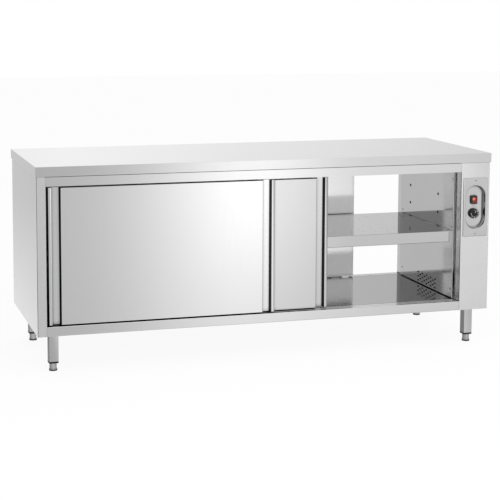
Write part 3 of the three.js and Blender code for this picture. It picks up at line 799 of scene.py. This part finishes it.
def soften(obj: bpy.types.Object, width: float, segments: int = 2, angle: float = 60.0) -> None:
    """Rounds the sharp edges of a piece that is smoothed.

    Args:
        obj: The piece.
        width: Width of the rounding, in millimetres.
        segments: Steps of the rounding.
        angle: Edges sharper than this, in degrees, are rounded.
    """
    bevel = obj.modifiers.new("edge", "BEVEL")
    bevel.width = width * MM
    bevel.segments = segments
    bevel.limit_method = "ANGLE"
    bevel.angle_limit = math.radians(angle)
    bevel.use_clamp_overlap = True
    # The rounding works on the welded sheet, before its sharp edges are split.
    after_weld = obj.modifiers.find("weld") + 1
    obj.modifiers.move(obj.modifiers.find("edge"), after_weld)


def paint(obj: bpy.types.Object, material: Material) -> None:
    """Puts one material on a piece and reports it.

    Args:
        obj: The piece.
        material: Its finish.
    """
    obj.data.materials.clear()
    obj.data.materials.append(material)
    log.info("%s: %s", obj.name, material.name)


def dress(obj: bpy.types.Object, material: Material) -> None:
    """Smooths the bends of a piece and puts its finish on."""
    smooth(obj)
    paint(obj, material)


def fit(obj: bpy.types.Object, material: Material, body: str) -> None:
    """Gives an added piece its finish and the body that it moves with.

    Args:
        obj: The piece.
        material: Its finish.
        body: The body that carries the piece.
    """
    dress(obj, material)
    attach(obj, body)


@dataclass
class Carcass:
    """Worktop, side panel, housing, rails, floor, walls, shelf, tracks and heating.

    Attributes:
        nodes: The carried-over solids.
        finishes: The cabinet's finishes.
        edge: Rounding of the worktop's edges, in millimetres.
        joint_edge: Rounding where the posts meet the rails, in millimetres.
        weld_wide: How far a weld reaches away from the rail, in millimetres.
        weld_lap: How far it reaches onto the rail, in millimetres.
        weld_deep: How far it reaches into the joint, in millimetres.
        weld_proud: How far it stands out of the polished face, in millimetres.
        screw: Radius and height of the wall screws, in millimetres.
        plug: Radius and height of the plugs in the spare shelf holes, in millimetres.
        around: Steps round a screw or a plug.
        screws_at: Depth and height of each wall screw, in millimetres.
        plug_rows: Depths of the two rows of shelf holes, in millimetres.
        plugs_above: Heights of the spare holes above the shelf, in millimetres.
        return_screw: Depth and height of the screw in the housing's return, in millimetres.
    """

    nodes: dict[str, bpy.types.Object]
    finishes: Finishes
    edge: float = 0.5
    joint_edge: float = 0.15
    weld_wide: float = 1.0
    weld_lap: float = 0.6
    weld_deep: float = 0.6
    weld_proud: float = 0.02
    screw: tuple[float, float] = (4.2, 2.2)
    plug: tuple[float, float] = (6.0, 2.6)
    around: int = 20
    screws_at: tuple[tuple[float, float], ...] = (
        (263.0, 518.0),
        (258.0, 241.0),
        (-281.0, 734.0),
        (-281.0, 518.0),
        (-281.0, 240.0),
    )
    plug_rows: tuple[float, float] = (-131.0, 175.0)
    plugs_above: tuple[float, float] = (62.0, 144.0)
    return_screw: tuple[float, float] = (-301.0, 457.0)

    def dress_nodes(self) -> None:
        """Gives every carried-over sheet its finish and its rounded edges."""
        f = self.finishes
        table = {
            f.top_steel: ("worktop",),
            f.long_steel: ("base_tray", "front_top_rail", "rear_top_rail"),
            f.tall_steel: ("left_side_panel", "control_housing"),
            f.bright_shelf: ("cabinet_ceiling", "middle_shelf"),
            f.bright_floor: ("cabinet_floor",),
            f.bright_wall: ("left_inner_wall", "right_inner_wall"),
            f.alloy: ("front_roller_track", "rear_roller_track"),
            f.zinc: ("worktop_stiffener", "blower_motor"),
            f.heat_dark: ("heater_element",),
            # The blower's housing and wheel are black partly as their own paint and partly as painted
            # shade, so that the wall's slots in front of them look dark.
            f.black: ("cable_gland", "blower_housing", "blower_wheel"),
            f.nylon: ("terminal_block",),
        }
        for material, names in table.items():
            for name in names:
                dress(self.nodes[name], material)
        for name, node in self.nodes.items():
            if name.startswith("shelf_support"):
                dress(node, f.zinc)
            elif name.endswith("_door_sill"):
                dress(node, f.long_steel)
        soften(self.nodes["worktop"], self.edge)
        for name in ("left_side_panel", "control_housing"):
            soften(self.nodes[name], self.joint_edge)

    def wall_faces(self) -> list[tuple[str, float, Vector]]:
        """Finds the faces of the inner walls that look into the cabinet.

        Returns:
            For each wall its name, its face's place along X, in millimetres, and the face's direction.
        """
        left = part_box("left_inner_wall")[1].x / MM
        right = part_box("right_inner_wall")[0].x / MM
        return [("left_inner_wall", left, TO_RIGHT), ("right_inner_wall", right, TO_LEFT)]

    def add_screw(self, name: str, at: Matrix) -> None:
        """Adds one screw of the carcass at the place that a matrix gives."""
        screw = turned(name, domed(*self.screw), at, self.around)
        fit(screw, self.finishes.dark_screw, "carcass")

    def add_screws(self) -> None:
        """Adds the small screws of the inner walls and of the housing's return."""
        for name, face, inward in self.wall_faces():
            for number, (depth, level) in enumerate(self.screws_at):
                self.add_screw(f"{name}_screw_{number + 1}", facing(Vector((face, depth, level)), inward))
        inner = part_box("control_housing")[0].x / MM
        self.add_screw("housing_return_screw", facing(Vector((inner, *self.return_screw)), TO_LEFT))

    def add_plugs(self) -> None:
        """Adds the black plugs that close the spare shelf holes."""
        shelf_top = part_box("middle_shelf")[1].z / MM
        for name, face, inward in self.wall_faces():
            for row, depth in enumerate(self.plug_rows):
                for step, above in enumerate(self.plugs_above):
                    at = facing(Vector((face, depth, shelf_top + above)), inward)
                    plug = turned(f"{name}_plug_{row + 1}_{step + 1}", domed(*self.plug), at, self.around)
                    fit(plug, self.finishes.matt_black, "carcass")

    def add_weld(self, rail: str, side: Side, end: End, joint: float) -> None:
        """Adds one weld over the joint at the end of a rail.

        Args:
            rail: Name of the piece that has the rail.
            side: Side of the cabinet on which the rail is.
            end: End of the rail.
            joint: Place of the joint along X, in metres.
        """
        low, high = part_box(rail)
        face = side.face(rail)
        beyond = joint + end.value * self.weld_wide * MM
        lapped = joint - end.value * self.weld_lap * MM
        proud = face + side.value * self.weld_proud * MM
        sunk = face - side.value * self.weld_deep * MM
        name = f"{rail}_weld_{side.name.lower()}_{end.name.lower()}"
        weld = block(name, Vector((beyond, proud, low.z)), Vector((lapped, sunk, high.z)))
        fit(weld, self.finishes.tall_steel, "carcass")

    def add_welds(self) -> None:
        """Closes the rails' joints with the left posts and the housing, which are welded and polished."""
        joints = dict(zip(End, (corner.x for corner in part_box("front_top_rail"))))
        rails = (
            ("front_top_rail", Side.FRONT),
            ("rear_top_rail", Side.REAR),
            ("base_tray", Side.FRONT),
            ("base_tray", Side.REAR),
        )
        for rail, side in rails:
            for end, joint in joints.items():
                self.add_weld(rail, side, end, joint)


@dataclass
class Legs:
    """Legs, their caps and the screwed feet.

    Attributes:
        nodes: The carried-over solids.
        finishes: The cabinet's finishes.
        edge: Rounding of the tubes' edges, in millimetres.
        ring_high: Height of the black ring round the foot's bottom, in millimetres.
        ring_proud: How far the ring stands out of the foot, in millimetres.
        ring_hole: Radius of the ring's hole, as a share of the foot's radius.
        around: Steps round a ring.
    """

    nodes: dict[str, bpy.types.Object]
    finishes: Finishes
    edge: float = 0.4
    ring_high: float = 5.0
    ring_proud: float = 0.15
    ring_hole: float = 0.5
    around: int = 32

    def dress_nodes(self) -> None:
        """Gives the tubes, caps and feet their finishes."""
        for name, node in self.nodes.items():
            if name.endswith("_leg"):
                dress(node, self.finishes.leg_steel)
                soften(node, self.edge)
            elif name.endswith("_leg_cap"):
                dress(node, self.finishes.matt_black)
            elif name.endswith("_levelling_foot"):
                dress(node, self.finishes.turned_steel)

    def add_foot_shade_rings(self) -> None:
        """Adds a black ring round the bottom of each foot, as painted shade: it stands for the dark band
        where the foot's lower edge lies in shade.
        """
        for name in [n for n in self.nodes if n.endswith("_levelling_foot")]:
            low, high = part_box(name)
            radius = (high.x - low.x) / 2 / MM
            outer = radius + self.ring_proud
            inner = radius * self.ring_hole
            middle = Matrix.Translation(Vector(((low.x + high.x) / 2, (low.y + high.y) / 2, low.z)))
            top = self.ring_high
            profile = [(inner, 0.0), (outer, 0.0), (outer, top), (inner, top), (inner, 0.0)]
            # Painted shade: a black ring where the foot's lower edge lies in shade.
            shade_ring = turned(f"{name}_sole", profile, middle, self.around)
            fit(shade_ring, self.finishes.matt_black, name.replace("_levelling", ""))


@dataclass
class Doors:
    """The four hanging doors and their rollers.

    Attributes:
        nodes: The carried-over solids.
        finishes: The cabinet's finishes.
        inner_lane: Names with which the doors of the inner lanes begin.
        edge: Rounding of the doors' edges, in millimetres.
        panel_inset: Distance from the door's end to its panel, in millimetres.
        strip_thick: Thickness of the black strips, in millimetres.
        strip_high: Height of the black strip on an outer and on an inner door, in millimetres; the inner
            doors' shadow line is broader.
    """

    nodes: dict[str, bpy.types.Object]
    finishes: Finishes
    inner_lane: tuple[str, ...] = ("front_right", "rear_right")
    edge: float = 0.3
    panel_inset: float = 53.0
    strip_thick: float = 0.8
    strip_high: tuple[float, float] = (2.0, 4.6)

    def dress_nodes(self) -> None:
        """Gives faces, backs and rollers their finishes."""
        for name, node in self.nodes.items():
            if name.endswith("_door_face"):
                inner_lane = name.startswith(self.inner_lane)
                dress(node, self.finishes.inner_door if inner_lane else self.finishes.outer_door)
                soften(node, self.edge)
            elif name.endswith("_door_back"):
                dress(node, self.finishes.bright_door)
            elif "_door_roller" in name:
                dress(node, self.finishes.nylon)

    def add_door_shadow_strips(self) -> None:
        """Adds a thin black strip along the top of each door's panel, as painted shadow: it stands for the
        shadow line under the top rail.
        """
        for name in [n for n in self.nodes if n.endswith("_door_face")]:
            side = Side.FRONT if name.startswith("front") else Side.REAR
            low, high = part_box(name)
            face = side.face(name)
            strip_high = self.strip_high[name.startswith(self.inner_lane)]
            inset = self.panel_inset * MM
            bottom = Vector((low.x + inset, face, high.z - strip_high * MM))
            top = Vector((high.x - inset, face + side.value * self.strip_thick * MM, high.z))
            # Painted shadow: a black strip where the shadow line under the top rail falls.
            shadow_strip = block(name.replace("_face", "_seal"), bottom, top)
            fit(shadow_strip, self.finishes.matt_black, name.replace("_face", ""))


@dataclass
class Controls:
    """Control panel with its basin, lit switch and thermostat knob.

    Attributes:
        nodes: The carried-over solids.
        finishes: The cabinet's finishes.
        rim: Rounding of the basin's rim, in millimetres.
        screw: Radius and height of the panel's screws, in millimetres.
        screw_inset: Distance of the screws from the panel's upper and lower edge, in millimetres.
        around: Steps round a screw.
        grip_high: Height of the knob's grip over its face, in millimetres.
        print_high: Thickness of the printed marks, in millimetres.
        figure_high: Height of the figures, in millimetres.
        stroke: Extra width of the figures' strokes, in millimetres.
        figure_radius: Radius on which the figures stand, in millimetres.
        tick: Length and width of the short lines between the figures, in millimetres.
        pointer: Length and width of the pointer on the grip, in millimetres.
        pointer_radius: Distance of its middle from the dial's middle, in millimetres.
        first_figure: First figure of the dial.
        figures: Number of figures.
        sweep: Angle from the first to the last figure, in degrees.
        start: Clock angle of the first figure, in degrees from the top.
    """

    nodes: dict[str, bpy.types.Object]
    finishes: Finishes
    rim: float = 0.9
    screw: tuple[float, float] = (3.6, 1.5)
    screw_inset: float = 11.0
    around: int = 24
    grip_high: float = 5.0
    print_high: float = 0.15
    figure_high: float = 6.5
    stroke: float = 0.12
    figure_radius: float = 15.6
    tick: tuple[float, float] = (3.0, 0.9)
    pointer: tuple[float, float] = (6.0, 1.26)
    pointer_radius: float = 7.8
    first_figure: int = 1
    figures: int = 7
    sweep: float = 270.0
    start: float = 0.0

    def dress_nodes(self) -> None:
        """Gives the panel, switch and thermostat their finishes."""
        f = self.finishes
        dress(self.nodes["control_basin"], f.panel_steel)
        dress(self.nodes["switch_body"], f.black)
        dress(self.nodes["switch_rocker"], f.lamp)
        dress(self.nodes["thermostat_body"], f.black)
        dress(self.nodes["thermostat_knob"], f.matt_black)
        soften(self.nodes["control_basin"], self.rim)

    def add_screws(self) -> None:
        """Adds the panel's two screws."""
        low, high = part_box("control_basin")
        middle = (low.x + high.x) / 2 / MM
        levels = {"upper": high.z / MM - self.screw_inset, "lower": low.z / MM + self.screw_inset}
        for name, level in levels.items():
            at = facing(Vector((middle, low.y / MM, level)), TO_FRONT)
            screw = turned(f"panel_screw_{name}", domed(*self.screw), at, self.around)
            fit(screw, self.finishes.dark_screw, "carcass")

    def add_dial(self) -> None:
        """Prints the plain figures, the short lines and the pointer on the knob."""
        low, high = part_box("thermostat_knob")
        middle = Vector(((low.x + high.x) / 2 / MM, 0.0, (low.z + high.z) / 2 / MM))
        face = low.y / MM + self.grip_high
        turn = self.sweep / (self.figures - 1)
        for number in range(self.figures):
            angle = self.start + number * turn
            self.add_figure(number, self.spot(middle, face, angle, self.figure_radius))
            if number < self.figures - 1:
                at = self.spot(middle, face, angle + turn / 2, self.figure_radius)
                self.add_line(f"knob_line_{number + 1}", at, self.tick)
        at = self.spot(middle, low.y / MM, self.start, self.pointer_radius)
        self.add_line("knob_pointer", at, self.pointer)

    def spot(self, middle: Vector, face: float, angle: float, radius: float) -> Matrix:
        """Finds the place of a mark that stands upright on the dial.

        Args:
            middle: Middle of the dial, in millimetres.
            face: Place along Y of the face that the mark is on, in millimetres.
            angle: Its clock angle, in degrees.
            radius: Distance of its middle from the dial's middle, in millimetres.

        Returns:
            The matrix that takes the mark, which lies flat with its top towards +Y, to its place.
        """
        around = Matrix.Rotation(math.radians(angle), 4, "Y")
        place = Matrix.Translation(Vector((middle.x, face, middle.z)) * MM)
        upright = Matrix.Rotation(math.radians(90.0), 4, "X")
        return place @ around @ Matrix.Translation(Vector((0.0, 0.0, radius)) * MM) @ upright

    def add_figure(self, number: int, at: Matrix) -> None:
        """Prints one figure on the knob's face.

        Args:
            number: Its place in the row, from 0.
            at: Matrix that takes it to its place.
        """
        curve = bpy.data.curves.new("figure", "FONT")
        curve.body = str(self.first_figure + number)
        curve.size = self.figure_high * MM
        curve.extrude = self.print_high / 2 * MM
        curve.offset = self.stroke * MM
        curve.align_x = "CENTER"
        curve.align_y = "CENTER"
        text = bpy.data.objects.new("figure", curve)
        bpy.context.scene.collection.objects.link(text)
        bpy.context.view_layer.update()
        mesh = bpy.data.meshes.new_from_object(text.evaluated_get(bpy.context.evaluated_depsgraph_get()))
        bpy.data.objects.remove(text)
        mesh.transform(at)
        figure = bpy.data.objects.new(f"knob_figure_{self.first_figure + number}", mesh)
        bpy.context.scene.collection.objects.link(figure)
        paint(figure, self.finishes.mark)
        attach(figure, "knob")

    def add_line(self, name: str, at: Matrix, size: tuple[float, float]) -> None:
        """Prints a short radial line on the knob.

        Args:
            name: Name of the piece.
            at: Matrix that takes it to its place.
            size: Its length and width, in millimetres.
        """
        half = Vector((size[1] / 2, size[0] / 2, self.print_high / 2)) * MM
        line = block(name, -half, half)
        line.data.transform(at)
        paint(line, self.finishes.mark)
        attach(line, "knob")


@dataclass(frozen=True)
class Viewpoint:
    """Camera at the photograph's viewpoint.

    Attributes:
        place: Its place, in millimetres.
        yaw: Its turn to the right of +Y, in radians.
        pitch: Its tilt down, in radians.
        roll: Its turn about its own axis, in radians.
        focal_pixels: Focal length, in pixels of the picture.
        frame_pixels: Width of the picture, in pixels.
        shift_pixels: Shift of the picture across and up, in pixels.
        sensor: Width of the sensor, in millimetres.
        far: Distance up to which it sees, in metres.
    """

    place: Point = (-1864.2, -5998.7, 1544.0)
    yaw: float = 0.2931
    pitch: float = 0.1094
    roll: float = 0.0038
    focal_pixels: float = 1434.7
    frame_pixels: float = 500.0
    shift_pixels: tuple[float, float] = (12.28, -100.0)
    sensor: float = 36.0
    far: float = 100.0

    def axes(self) -> tuple[Vector, Vector, Vector]:
        """Finds how the camera is turned.

        Returns:
            Its directions to the right, up and ahead.
        """
        level = Vector((math.cos(self.yaw), -math.sin(self.yaw), 0.0))
        ahead = Vector((
            math.sin(self.yaw) * math.cos(self.pitch),
            math.cos(self.yaw) * math.cos(self.pitch),
            -math.sin(self.pitch),
        ))
        upright = level.cross(ahead)
        right = math.cos(self.roll) * level + math.sin(self.roll) * upright
        up = math.cos(self.roll) * upright - math.sin(self.roll) * level
        return right, up, ahead

    def build(self) -> None:
        """Makes the camera."""
        data = bpy.data.cameras.new("camera")
        data.sensor_width = self.sensor
        data.lens = self.focal_pixels / self.frame_pixels * self.sensor
        data.shift_x = self.shift_pixels[0] / self.frame_pixels
        data.shift_y = self.shift_pixels[1] / self.frame_pixels
        data.clip_end = self.far
        right, up, ahead = self.axes()
        matrix = Matrix((right, up, -ahead)).transposed().to_4x4()
        matrix.translation = Vector(self.place) * MM
        camera = bpy.data.objects.new("camera", data)
        camera.matrix_world = matrix
        bpy.context.scene.collection.objects.link(camera)
        bpy.context.scene.camera = camera
        log.info("camera")


@dataclass(frozen=True)
class Lamp:
    """Rectangular soft lamp, which the metal doesn't mirror.

    Attributes:
        name: Its name.
        place: Its middle, in metres.
        aim: The point that it faces, in metres.
        size: Its width and height, in metres.
        power: Its power, in watts.
    """

    name: str
    place: Point
    aim: Point
    size: tuple[float, float]
    power: float

    def build(self) -> None:
        """Makes the lamp."""
        data = bpy.data.lights.new(self.name, "AREA")
        data.shape = "RECTANGLE"
        data.size, data.size_y = self.size
        data.energy = self.power
        lamp = bpy.data.objects.new(self.name, data)
        lamp.location = self.place
        ahead = Vector(self.aim) - Vector(self.place)
        lamp.rotation_euler = ahead.to_track_quat("-Z", "Y").to_euler()
        lamp.visible_glossy = False
        bpy.context.scene.collection.objects.link(lamp)
        log.info(self.name)


@dataclass
class Studio:
    """White studio with a light tent, whose graded cloth gives the steel its tones.

    A band holds the cloth's brightness round the compass, as pairs of the angle clockwise from +Y, in
    degrees, and the level. A span holds the heights, as sines of the slope of the look, between which one
    band turns into the next. What a band is for holds as seen from the camera.

    Attributes:
        viewpoint: The camera.
        lamps: The soft lamps.
        under_band: Cloth that the feet mirror.
        deep_band: Cloth that the legs and the doors' lower ends mirror.
        low_band: Cloth that the doors mirror further up, where it is blended with the deep band.
        rail_band: Cloth that the doors' upper ends, the top rails and the worktop's edge mirror.
        upper_band: Cloth that the worktop and the flats inside mirror.
        high_band: Narrow strip within the upper cloth that is darker in front.
        deep_span: Heights between which the deep band takes over.
        low_span: Heights between which the low band takes over.
        rail_span: Heights between which the rail band takes over.
        upper_span: Heights between which the upper band takes over.
        high_span: Heights between which the high strip begins.
        high_end_span: Heights between which it ends.
        top_span: Heights between which the cloth turns into plain light. The tent is open above them.
        overhead: Brightness from above.
        headroom: What the ramps' levels are divided by, because a ramp's colour ends at 1.
        tent_reach: Radius of the tent, in millimetres, so large that its cloth has no parallax.
        tent_steps: Number of steps from the tent's bottom to its upper edge.
        floor_half: Half the floor's width, in metres.
        floor_grey: Grey of the floor, which takes the shadow.
        floor_white: Share of plain white in what the camera sees of the floor.
        bounces: Number of times that light is followed from mirror to mirror.
    """

    viewpoint: Viewpoint = Viewpoint()
    lamps: tuple[Lamp, ...] = (
        Lamp("key_lamp", place=(2.5, -4.0, 4.5), aim=(0.0, 0.0, 0.5), size=(2.0, 2.0), power=40.0),
        Lamp("fill_lamp", place=(0.3, -3.5, 1.0), aim=(0.5, 0.0, 0.4), size=(1.2, 1.0), power=60.0),
    )
    under_band: Levels = (
        (-180.0, 0.45), (-168.0, 0.60), (-120.0, 0.60), (-70.0, 0.50), (-40.0, 0.50), (-26.0, 0.55),
        (-15.0, 0.70), (-8.9, 0.88), (-8.4, 1.05), (-8.0, 1.17), (10.0, 0.95), (50.0, 0.60),
        (75.0, 0.50), (125.0, 0.50), (148.0, 0.42), (153.0, 0.47), (157.0, 0.66), (160.5, 0.80),
        (162.3, 0.92), (164.7, 0.88), (166.7, 0.72), (168.7, 0.53), (170.2, 0.49), (171.2, 0.55),
        (174.0, 0.50), (180.0, 0.45),
    )
    deep_band: Levels = (
        (-180.0, 0.50), (-168.0, 0.72), (-120.0, 0.72), (-70.0, 0.50), (-40.0, 0.60), (-26.0, 0.62),
        (-15.0, 0.80), (-8.9, 0.60), (-8.4, 0.80), (-8.0, 1.28), (10.0, 0.95), (50.0, 0.60),
        (75.0, 0.50), (125.0, 0.50), (148.0, 0.62), (153.0, 0.70), (157.0, 0.73), (160.5, 0.80),
        (162.3, 0.94), (164.7, 0.90), (166.7, 0.71), (168.7, 0.53), (170.2, 0.49), (171.2, 0.57),
        (174.0, 0.52), (180.0, 0.50),
    )
    low_band: Levels = (
        (-180.0, 0.50), (-168.0, 0.72), (-120.0, 0.72), (-70.0, 0.55), (-40.0, 0.66), (-26.0, 0.68),
        (-15.0, 0.60), (-8.9, 0.55), (-8.4, 0.60), (-8.0, 0.69), (10.0, 0.90), (50.0, 0.60),
        (75.0, 0.50), (125.0, 0.50), (148.0, 0.68), (153.5, 0.80), (156.0, 0.84), (158.8, 0.80),
        (160.3, 1.04), (162.3, 1.75), (164.7, 1.20), (166.7, 0.82), (168.7, 0.60), (170.2, 0.53),
        (171.2, 0.58), (174.0, 0.54), (180.0, 0.50),
    )
    rail_band: Levels = (
        (-180.0, 0.50), (-168.0, 0.72), (-120.0, 0.72), (-70.0, 0.55), (-40.0, 0.66), (-26.0, 0.68),
        (-15.0, 0.60), (-8.9, 0.55), (-8.4, 0.60), (-8.0, 0.69), (10.0, 0.90), (50.0, 0.60),
        (75.0, 0.50), (125.0, 0.50), (148.0, 0.64), (153.5, 0.79), (156.0, 0.90), (158.8, 0.79),
        (160.3, 1.04), (162.3, 1.78), (164.7, 1.18), (166.7, 0.70), (168.7, 0.56), (170.2, 0.49),
        (171.2, 0.54), (174.0, 0.54), (180.0, 0.50),
    )
    upper_band: Levels = (
        (-180.0, 0.60), (-168.0, 1.20), (-120.0, 1.20), (-90.0, 0.40), (-60.0, 0.28), (-26.0, 0.30),
        (-5.0, 0.80), (10.0, 1.08), (18.0, 0.95), (27.0, 0.80), (50.0, 0.60), (75.0, 0.50),
        (125.0, 0.50), (148.0, 0.55), (160.0, 0.78), (180.0, 0.50),
    )
    high_band: Levels = (
        (-180.0, 0.60), (-168.0, 0.35), (-120.0, 0.35), (-90.0, 0.40), (-60.0, 0.28), (-26.0, 0.30),
        (-5.0, 0.80), (10.0, 1.08), (18.0, 0.95), (27.0, 0.80), (50.0, 0.60), (75.0, 0.50),
        (125.0, 0.50), (148.0, 0.50), (160.0, 0.64), (180.0, 0.50),
    )
    deep_span: Span = (-0.26, -0.235)
    low_span: Span = (-0.235, -0.14)
    rail_span: Span = (-0.138, -0.122)
    upper_span: Span = (-0.03, 0.03)
    high_span: Span = (0.148, 0.154)
    high_end_span: Span = (0.164, 0.174)
    top_span: Span = (0.35, 0.8)
    overhead: float = 1.0
    headroom: float = 2.0
    tent_reach: float = 2_000_000.0
    tent_steps: int = 12
    floor_half: float = 20.0
    floor_grey: float = 0.9
    floor_white: float = 0.9
    bounces: int = 16

    def build(self) -> None:
        """Makes the whole studio."""
        scene = bpy.context.scene
        scene.view_settings.view_transform = "Standard"
        scene.cycles.max_bounces = self.bounces
        scene.cycles.glossy_bounces = self.bounces
        self.viewpoint.build()
        self.make_floor()
        self.make_world()
        self.make_tent()
        for lamp in self.lamps:
            lamp.build()

    def plain_rays(self, tree: Tree) -> Socket:
        """Picks the rays that see the white background: the camera's, also in metal and through glass.

        Args:
            tree: Node tree that gets the nodes.

        Returns:
            The socket that is 1 for those rays and 0 for others.
        """
        path = tree.nodes.new("ShaderNodeLightPath")
        total = path.outputs["Is Camera Ray"]
        for kind in ("Is Glossy Ray", "Is Transmission Ray"):
            total = calculate(tree, "ADD", total, path.outputs[kind], clamp=True)
        return total

    def band(self, tree: Tree, turn: Socket, levels: Levels) -> Socket:
        """Adds the brightness round the compass.

        Args:
            tree: Node tree that gets the nodes.
            turn: Socket with the compass direction, from 0 to 1, with +Y in the middle.
            levels: Pairs of compass angle in degrees, clockwise from +Y, and brightness.

        Returns:
            The socket with the brightness, divided by the headroom.
        """
        stops = [(angle / 360.0 + 0.5, grey(level / self.headroom)) for angle, level in levels]
        return add_ramp(tree, turn, stops)

    def blend(self, tree: Tree, height: Socket, span: Span, below: Socket, above: Socket) -> Socket:
        """Blends two bands over a span of heights.

        Args:
            tree: Node tree that gets the nodes.
            height: Socket with the height of the look, from -1 to 1.
            span: Heights between which the lower band turns into the upper one.
            below: Colour of the lower band.
            above: Colour of the upper band.

        Returns:
            The socket with the blended colour.
        """
        share = add_node(tree, "ShaderNodeMapRange", Value=height, From_Min=span[0], From_Max=span[1])
        return mix_colours(tree, share.outputs["Result"], below, above)

    def surroundings(self, tree: Tree, ahead: Socket) -> Socket:
        """Adds the brightness of the tent in every direction.

        Args:
            tree: Node tree that gets the nodes.
            ahead: Socket with the direction, of length 1.

        Returns:
            The socket with the brightness, divided by the headroom.
        """
        parts = add_node(tree, "ShaderNodeSeparateXYZ", Vector=ahead)
        height = parts.outputs["Z"]
        angle = calculate(tree, "ARCTAN2", parts.outputs["X"], parts.outputs["Y"])
        turn = add_node(tree, "ShaderNodeMapRange", Value=angle, From_Min=-math.pi, From_Max=math.pi)
        sky = self.band(tree, turn.outputs["Result"], self.under_band)
        for span, levels in (
            (self.deep_span, self.deep_band),
            (self.low_span, self.low_band),
            (self.rail_span, self.rail_band),
            (self.upper_span, self.upper_band),
            (self.high_span, self.high_band),
            (self.high_end_span, self.upper_band),
        ):
            sky = self.blend(tree, height, span, sky, self.band(tree, turn.outputs["Result"], levels))
        top = tree.nodes.new("ShaderNodeRGB").outputs["Color"]
        top.default_value = grey(self.overhead / self.headroom)
        return self.blend(tree, height, self.top_span, sky, top)

    def make_floor(self) -> None:
        """Makes the pale floor, white to the camera but for a soft shadow. The metal doesn't mirror it."""
        reach = (-self.floor_half, self.floor_half)
        corners = [Vector((x, y, 0.0)) for y in reach for x in reach]
        floor = mesh_object("floor", corners, [(0, 1, 3, 2)])
        material = bpy.data.materials.new("floor")
        tree = bare_tree(material)
        plain = add_node(tree, "ShaderNodeBsdfDiffuse", Color=grey(self.floor_grey))
        white = add_node(tree, "ShaderNodeEmission", Color=grey(1.0), Strength=1.0)
        share = calculate(tree, "MULTIPLY", self.plain_rays(tree), self.floor_white)
        seen = mix_shaders(tree, share, plain.outputs["BSDF"], white.outputs["Emission"])
        lead_out(tree, "ShaderNodeOutputMaterial", seen)
        paint(floor, material)
        floor.visible_glossy = False

    def make_world(self) -> None:
        """Makes the world: a white background, and graded light on what is matt."""
        world = bpy.data.worlds.new("studio")
        tree = bare_tree(world)
        sky = self.surroundings(tree, tree.nodes.new("ShaderNodeTexCoord").outputs["Generated"])
        soft, white = [
            add_node(tree, "ShaderNodeBackground", Color=colour, Strength=strength).outputs["Background"]
            for colour, strength in ((sky, self.headroom), (grey(1.0), 1.0))
        ]
        lead_out(tree, "ShaderNodeOutputWorld", mix_shaders(tree, self.plain_rays(tree), soft, white))
        bpy.context.scene.world = world
        log.info("world")

    def make_tent(self) -> None:
        """Makes the light tent, a far ring of graded cloth, open above, that only the metal shows."""
        bottom = -math.pi / 2
        rise = math.asin(self.top_span[1]) - bottom
        slopes = [bottom + rise * i / self.tent_steps for i in range(1, self.tent_steps + 1)]
        reach = self.tent_reach
        rings = [(reach * math.cos(slope), reach * math.sin(slope)) for slope in slopes]
        tent = turned("light_tent", [(0.0, -reach), *rings], Matrix.Identity(4))
        material = bpy.data.materials.new("graded_cloth")
        tree = bare_tree(material)
        ahead = tree.nodes.new("ShaderNodeVectorMath")
        ahead.operation = "NORMALIZE"
        feed(tree, ahead.inputs["Vector"], tree.nodes.new("ShaderNodeTexCoord").outputs["Object"])
        sky = self.surroundings(tree, ahead.outputs["Vector"])
        cloth = add_node(tree, "ShaderNodeEmission", Color=sky, Strength=self.headroom)
        lead_out(tree, "ShaderNodeOutputMaterial", cloth.outputs["Emission"])
        material.cycles.emission_sampling = "NONE"
        paint(tent, material)
        tent.visible_camera = False
        tent.visible_diffuse = False
        tent.visible_transmission = False
        tent.visible_shadow = False


def main() -> None:
    """Builds the studio and the dressed cabinet."""
    logging.basicConfig(level=logging.INFO)
    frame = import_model()
    nodes = frame["nodes"]
    Studio().build()
    finishes = Finishes()
    carcass = Carcass(nodes, finishes)
    legs = Legs(nodes, finishes)
    doors = Doors(nodes, finishes)
    controls = Controls(nodes, finishes)
    for part in (carcass, legs, doors, controls):
        part.dress_nodes()
    for part in (carcass, controls):
        part.add_screws()
    legs.add_foot_shade_rings()
    doors.add_door_shadow_strips()
    carcass.add_plugs()
    carcass.add_welds()
    controls.add_dial()
    log.info("cabinet dressed")


if __name__ == "__main__":
    main()
